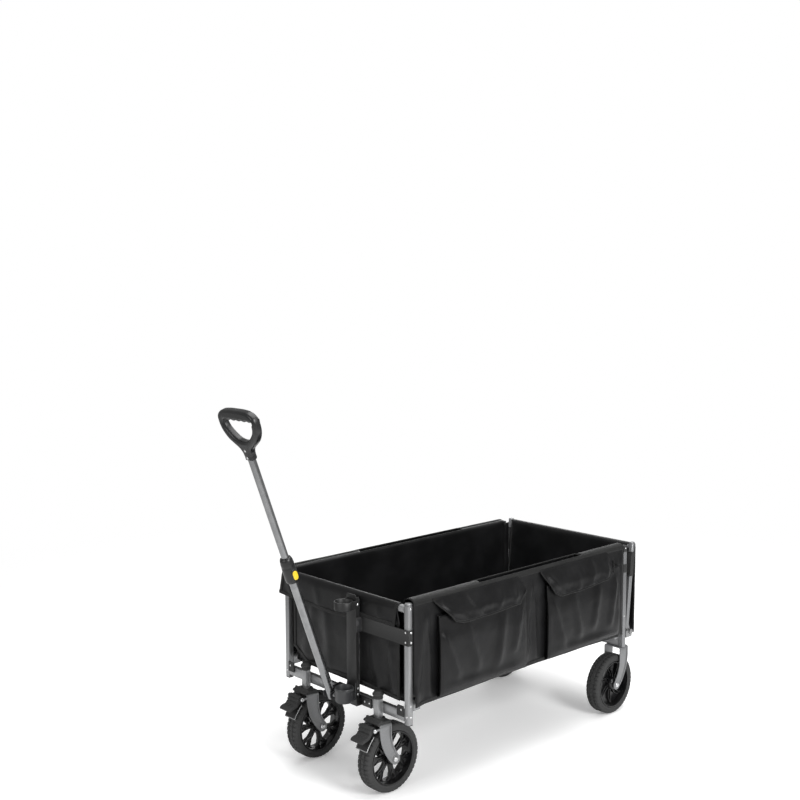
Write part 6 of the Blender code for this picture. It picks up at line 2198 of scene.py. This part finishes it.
        def place(x: float, row: float) -> Vector:
            """Where a point of the apron lies.

            Args:
                x: The place across it.
                row: The number of the step on the way over the tube.

            Returns:
                The point.
            """
            y, z = path[int(row)]
            if row < len(rise):
                z = mix(through(foot_line, x), held_at, (z - foot) / (held_at - foot)) if z < held_at else z
                ripple = lifted(APRON_FOLDS, x, z) + 0.0006 + crumple(x, z, 0.07, 0.002, 31.0)
                ripple += crumple(x, z, 0.02, 0.0004, 3.0)
                tight = 1 - 0.75 * eased((x - 0.06) / 0.03) * eased((z - 0.395) / 0.015)
                held = tight * (1 - eased((-0.175 - x) / 0.03))
                y -= max(-0.0004, ripple) * eased((0.47 - z) / 0.05) * held
            elif row >= len(rise) + len(over):
                y += (0.0008 + crumple(x, z, 0.1, 0.001, 37.0)) * eased((0.49 - z) / 0.05)
            return Vector((x, y, z))

        columns = filled([-half, half], WALL_STEP)
        self.hang("apron", sheet(columns, range(len(path)), place), "frame", ["bag_front"])
        out = (0, -1, 0)
        hem, seam = bound([place(x, 0) + Vector((0, -0.0012, 0.0048)) for x in columns], out)
        trims = [hem]
        for x in (0.0045 - half, half - 0.0045):
            side = [place(x, i) + Vector((0, -0.0009, 0)) for i in range(len(rise) - 3)]
            trims.append(strip(side, TAPE, out))
        publish("apron_binding", gathered(trims), Finish.BINDING, "frame")
        publish("apron_seams", seam, Finish.THREAD, "frame")

    def build_valance(self) -> None:
        """The short flap that hangs over the apron from the top tube, past the left post."""
        high = (-0.2533, self.panel_half)
        low = (-0.2665, 0.2035)
        seam_z, drop = 0.5065, 0.065
        low_line = ((low[0], 0.4426), (-0.15, 0.435), (-0.03, 0.4316), (0.02, 0.4345), (0.04, 0.4485))
        low_line += ((0.078, 0.4512), (high[1], 0.4518))

        def place(share: float, up: float) -> Vector:
            """Where a point of the valance lies.

            Args:
                share: The share of the way across.
                up: The share of the way up, and past 1 onto the tube.

            Returns:
                The point.
            """
            level = mix(through(low_line, mix(low[0], high[1], share), False), seam_z, min(1.0, up))
            sway = (seam_z - level) / drop
            x = mix(mix(high[0], low[0], sway), mix(high[1], low[1], sway), share)
            back = max(0.0, up - 1.0)
            ripple = lifted(VALANCE_FOLDS, x, level) + 0.0004 + crumple(x, level, 0.05, 0.0011, 43.0)
            y = -0.459 - max(-0.0002, ripple * eased(sway * 2)) + 0.003 * eased((level - 0.496) / 0.011)
            climb = 0.0042 * math.sin(math.pi / 2 * min(1.0, back * 1.3))
            return Vector((x, y + 0.0105 * back, level + climb))

        shares = spaced(0.0, 1.0, 84)
        ups = spaced(0.0, 1.0, 13) + [1.25, 1.5, 1.75, 2.0]
        self.hang("valance", sheet(shares, ups, place), "frame")
        out = (0, -1, 0)
        edge, seam = bound([place(s, 0.0) + Vector((0, -0.0007, 0.0044)) for s in shares], out)
        trims = [edge]
        for share, inwards in ((1.0, -0.0046), (0.0, 0.0046)):
            end = [place(share, u) + Vector((inwards, -0.0007, 0)) for u in spaced(0.0, 1.0, 12)]
            trims.append(strip(end, TAPE, out))
        publish("valance_binding", gathered(trims), Finish.BINDING, "frame")
        publish("valance_seams", seam, Finish.THREAD, "frame")

    def build_floor(self) -> None:
        """The cloth floor, which sags a little between the cross tubes and reaches the tailgate's foot."""
        half_x, end, sill = 0.221, 0.4335, 0.4895

        def place(x: float, y: float) -> Vector:
            """Where a point of the floor lies.

            Args:
                x: The place across it.
                y: The place along it.

            Returns:
                The point.
            """
            hollow = math.cos(math.pi / 2 * x / half_x) * math.cos(math.pi / 2 * min(1.0, abs(y) / end))
            rise = 0.002 * eased((y - end) / 0.03) + 0.0036 * eased((abs(x) - 0.216) / 0.005)
            z = 0.2536 - 0.004 * max(0.0, hollow) + rise + crumple(x, y, 0.09, 0.0008, 53.0)
            return Vector((x, y, z))

        cloth = sheet(spaced(-half_x, half_x, 40), spaced(-end, sill, 74), place)
        piece = self.sew("floor_cloth", cloth, Finish.LINER, 1, replaces=["bag_floor"])

    def build_mat(self) -> None:
        """The padded mat: four stiff panels in a quilted cover, with creases between them."""
        half_x, rear, low, thick = 0.212, 0.4322, 0.2556, 0.008
        groove = 0.0042
        creases = [mix(-rear, rear, s) for s in (0.25, 0.5, 0.75)]
        rows = (-0.159, -0.053, 0.053, 0.159)

        def height(x: float, y: float) -> float:
            """How high the mat's top lies.

            Args:
                x: The place across it.
                y: The place along it.

            Returns:
                The height.
            """
            edge = eased(min(half_x - abs(x), y + rear, rear - y) / 0.011)
            dent = max(math.exp(-(((y - crease) / groove) ** 2)) for crease in creases)
            nearest = min(abs(x - 0.053 * k) for k in range(-4, 5))
            quilt = 1 - 0.22 * math.exp(-((nearest / groove) ** 2))
            soft = crumple(x, y, 0.045, 0.0006, 61.0)
            return low + 0.0016 + thick * edge * quilt * (1 - 0.62 * dent) + soft * edge

        xs, ys = filled([-half_x, half_x], 0.0053), filled([-rear, *creases, rear], 0.0054)
        top = sheet(xs, ys, lambda x, y: Vector((x, y, height(x, y))))
        under = sheet(xs, ys, lambda x, y: Vector((x, y, low + 0.0004)))
        bmesh.ops.reverse_faces(under, faces=under.faces)
        pad = gathered([top, under])
        bmesh.ops.bridge_loops(pad, edges=[e for e in pad.edges if e.is_boundary])
        self.sew("mat_cover", pad, Finish.LINER, 1, False, ["base_mat"])
        corners = rounded_rectangle(2 * half_x - 0.004, 2 * rear - 0.004, 0.012)
        rim = [(x, y, low + 0.0042) for x, y in corners]
        binding = strip(evened(rim + rim[:1], 0.008)[:-1], PIPING, (0, 0, 1), True)
        self.sew("mat_piping", binding, Finish.BINDING, 1, False)
        seams = [stitches([(x, y, height(x, y) + 0.0004) for y in ys[3:-3]], (0, 0, 1)) for x in rows]
        self.sew("mat_seams", gathered(seams), Finish.THREAD, 1, False)

    def build_gate_panel(self) -> None:
        """The tailgate's cloth: up the inside, over its top tube and down the outside as a free apron."""
        gate, reach = Tailgate(), 0.0104
        tube_z = 0.5065
        tube_y = gate.line(tube_z)
        inside = [(gate.line(z) - reach, z) for z in filled([0.266, tube_z], 0.0075)]
        roll = [math.radians(a) for a in (157, 135, 112, 90, 70)]
        over = [(tube_y + reach * math.cos(a), tube_z + reach * math.sin(a)) for a in roll]
        outside = [(0.4972, z) for z in filled([0.2385, 0.512], 0.0075)][::-1]
        path = [*inside, *over, (0.4945, 0.516), *outside]
        turn = len(inside)

        def place(share: float, row: float) -> Vector:
            """Where a point of the panel lies.

            Args:
                share: The share of the way across.
                row: The number of the step on the way over the tube.

            Returns:
                The point.
            """
            y, z = path[int(row)]
            half = mix(0.2305, 0.249, eased((row - turn) / 4))
            x = mix(-half, half, share)
            ripple = crumple(x, z, 0.08, 0.0016, 71.0)
            if row > turn + 5:
                ripple += lifted(GATE_FOLDS, x, z) + crumple(x, z, 0.02, 0.0004, 73.0)
                y += max(-0.0004, ripple) * eased((0.505 - z) / 0.05)
                z -= 0.003 * math.sin(math.pi * share) * eased((0.3 - z) / 0.05)
            elif row < turn:
                y -= max(0.0, ripple) * 0.6
            return Vector((x, y, z))

        rows = range(len(path))
        cloth = sheet(spaced(0.0, 1.0, 82), rows, place)
        self.hang("gate_cloth", cloth, "tailgate", ["bag_rear"])
        out = (0, 1, 0)
        foot = [place(s, rows[-1]) + Vector((0, 0.001, 0.0046)) for s in spaced(0.004, 0.996, 82)]
        tape, seam = bound(foot, out)
        trims = [tape]
        for share in (0.01, 0.99):
            side = [place(share, row) + Vector((0, 0.0009, 0)) for row in rows[turn + 7:]]
            trims.append(strip(side, TAPE, out))
        publish("gate_binding", gathered(trims), Finish.BINDING, "tailgate")
        publish("gate_seams", seam, Finish.THREAD, "tailgate")

    def build_corners(self, side: str, way: int) -> None:
        """The tape down the front corner, and the short tab that closes the corner beside the tailgate.

        Args:
            side: The side's name.
            way: 1 for the right side and -1 for the left one.
        """
        corner = [(way * 0.2168, 0.0122 - POST_Y, z) for z in spaced(0.258, 0.506, 40)]
        publish(f"corner_tape_{side}", strip(corner, TAPE, (0, 1, 0)), Finish.BINDING, "frame")
        width = 0.0215

        def place(y: float, z: float) -> Vector:
            """Where a point of the tab lies."""
            bow = 0.003 * math.sin(math.pi * (y - self.rear) / width) + crumple(y, z, 0.03, 0.0008, 81.0)
            return Vector((way * (self.liner_x + 0.001 - bow), y, z))

        tab = sheet(spaced(self.rear, self.rear + width, 7), spaced(0.262, 0.515, 42), place)
        self.hang(f"corner_tab_{side}", tab, "rear_frame")


# The camera, the lights and the floor


@dataclass
class Studio:
    """A pale floor that fades into white, soft lights and the photograph's viewpoint."""

    camera_at: tuple[float, float, float] = (2.1823, -2.2891, 1.2913)
    looks: tuple[float, float, float] = (-0.7264, 0.6798, -0.1012)
    roll: float = -0.156
    lens: float = 50.05
    sensor: float = 36.0
    floor_radius: float = 3.4
    floor_glow: float = 0.2
    even_light: float = 0.4

    def build(self) -> None:
        """Sets up the view, the light and the floor."""
        bpy.context.scene.view_settings.view_transform = "Standard"
        self.build_camera()
        self.build_world()
        self.build_lamps()
        self.build_floor()

    def build_camera(self) -> None:
        """The camera at the photograph's viewpoint."""
        data = bpy.data.cameras.new("camera")
        data.lens = self.lens
        data.sensor_width = self.sensor
        camera = bpy.data.objects.new("camera", data)
        bpy.context.scene.collection.objects.link(camera)
        turn = Vector(self.looks).to_track_quat("-Z", "Y").to_matrix().to_4x4()
        place = Matrix.Translation(Vector(self.camera_at) + Vector((0, MIDDLE_Y, 0)))
        camera.matrix_world = place @ turn @ Matrix.Rotation(math.radians(self.roll), 4, "Z")
        bpy.context.scene.camera = camera

    def build_world(self) -> None:
        """Even light from all round, seen as white by the camera."""
        world = bpy.data.worlds.new("studio")
        bpy.context.scene.world = world
        world.use_nodes = True
        sketch = Sketch(world.node_tree)
        path = sketch.node("ShaderNodeLightPath").outputs
        seen = sketch.maths("MAXIMUM", path["Is Camera Ray"], path["Is Transmission Ray"])
        values = {"Value": seen, "To Min": self.even_light, "To Max": 1.0}
        strength = sketch.node("ShaderNodeMapRange", values).outputs[0]
        background = world.node_tree.nodes["Background"]
        background.inputs["Color"].default_value = (1.0, 1.0, 1.0, 1.0)
        sketch.feed(background.inputs["Strength"], strength)

    def build_lamps(self) -> None:
        """A key light from the right, a fill from the front, a soft top light and one from behind."""
        lamps = (
            ("key", (3.2, -0.4, 2.0), (0.0, 0.1, 0.35), 1.2, 85.0, 1.8),
            ("front", (0.2, -3.4, 1.5), (0.0, -0.2, 0.3), 1.6, 22.0, 1.0),
            ("top", (0.2, 0.2, 3.2), (0.0, 0.1, 0.2), 2.6, 78.0, 0.25),
            ("back", (-2.4, 2.6, 2.0), (0.0, 0.1, 0.3), 1.8, 30.0, 0.5),
        )
        for name, place, target, size, power, gloss in lamps:
            data = bpy.data.lights.new(name, "AREA")
            data.shape = "SQUARE"
            data.size = size
            data.energy = power
            data.specular_factor = gloss
            lamp = bpy.data.objects.new(name, data)
            bpy.context.scene.collection.objects.link(lamp)
            lamp.location = Vector(place) + Vector((0, MIDDLE_Y, 0))
            lamp.rotation_euler = (Vector(target) - Vector(place)).to_track_quat("-Z", "Y").to_euler()

    def build_floor(self) -> None:
        """A round pale floor whose rim fades out."""
        shape = bmesh.new()
        bmesh.ops.create_circle(shape, cap_ends=True, segments=96, radius=self.floor_radius)
        mesh = bpy.data.meshes.new("floor")
        shape.to_mesh(mesh)
        shape.free()
        floor = bpy.data.objects.new("floor", mesh)
        bpy.context.scene.collection.objects.link(floor)
        floor.location = (0, 0, -0.0005)
        made = Dressing("pale_floor")
        sketch = made.sketch
        place = sketch.place()
        away = sketch.node("ShaderNodeVectorMath", {0: place}, operation="LENGTH").outputs["Value"]
        kept = sketch.maths("SUBTRACT", 1.0, sketch.spread(away, 0.9, 3.2))
        tone = sketch.mixed(sketch.clouds(place, 3.0), shade((0.955,) * 3), shade((0.975,) * 3))
        seen = sketch.node("ShaderNodeLightPath").outputs["Is Camera Ray"]
        glow = sketch.maths("MULTIPLY", seen, self.floor_glow)
        made.set(Base_Color=tone, Roughness=0.9, Specular_IOR_Level=0.1, Alpha=kept)
        made.set(Emission_Color=(1.0, 1.0, 1.0, 1.0), Emission_Strength=glow)
        mesh.materials.append(made.material)


def main() -> None:
    """Builds the wagon piece by piece, then the studio."""
    logging.basicConfig(level=logging.INFO, format="%(name)s %(message)s")
    FrontFrame().build()
    SideArms().build()
    for side in SIDES:
        Caster(side).build()
    RearFrame().build()
    Tailgate().build()
    PullHandle().build()
    PoleHolder().build()
    FabricTub().build()
    Studio().build()


if __name__ == "__main__":
    main()
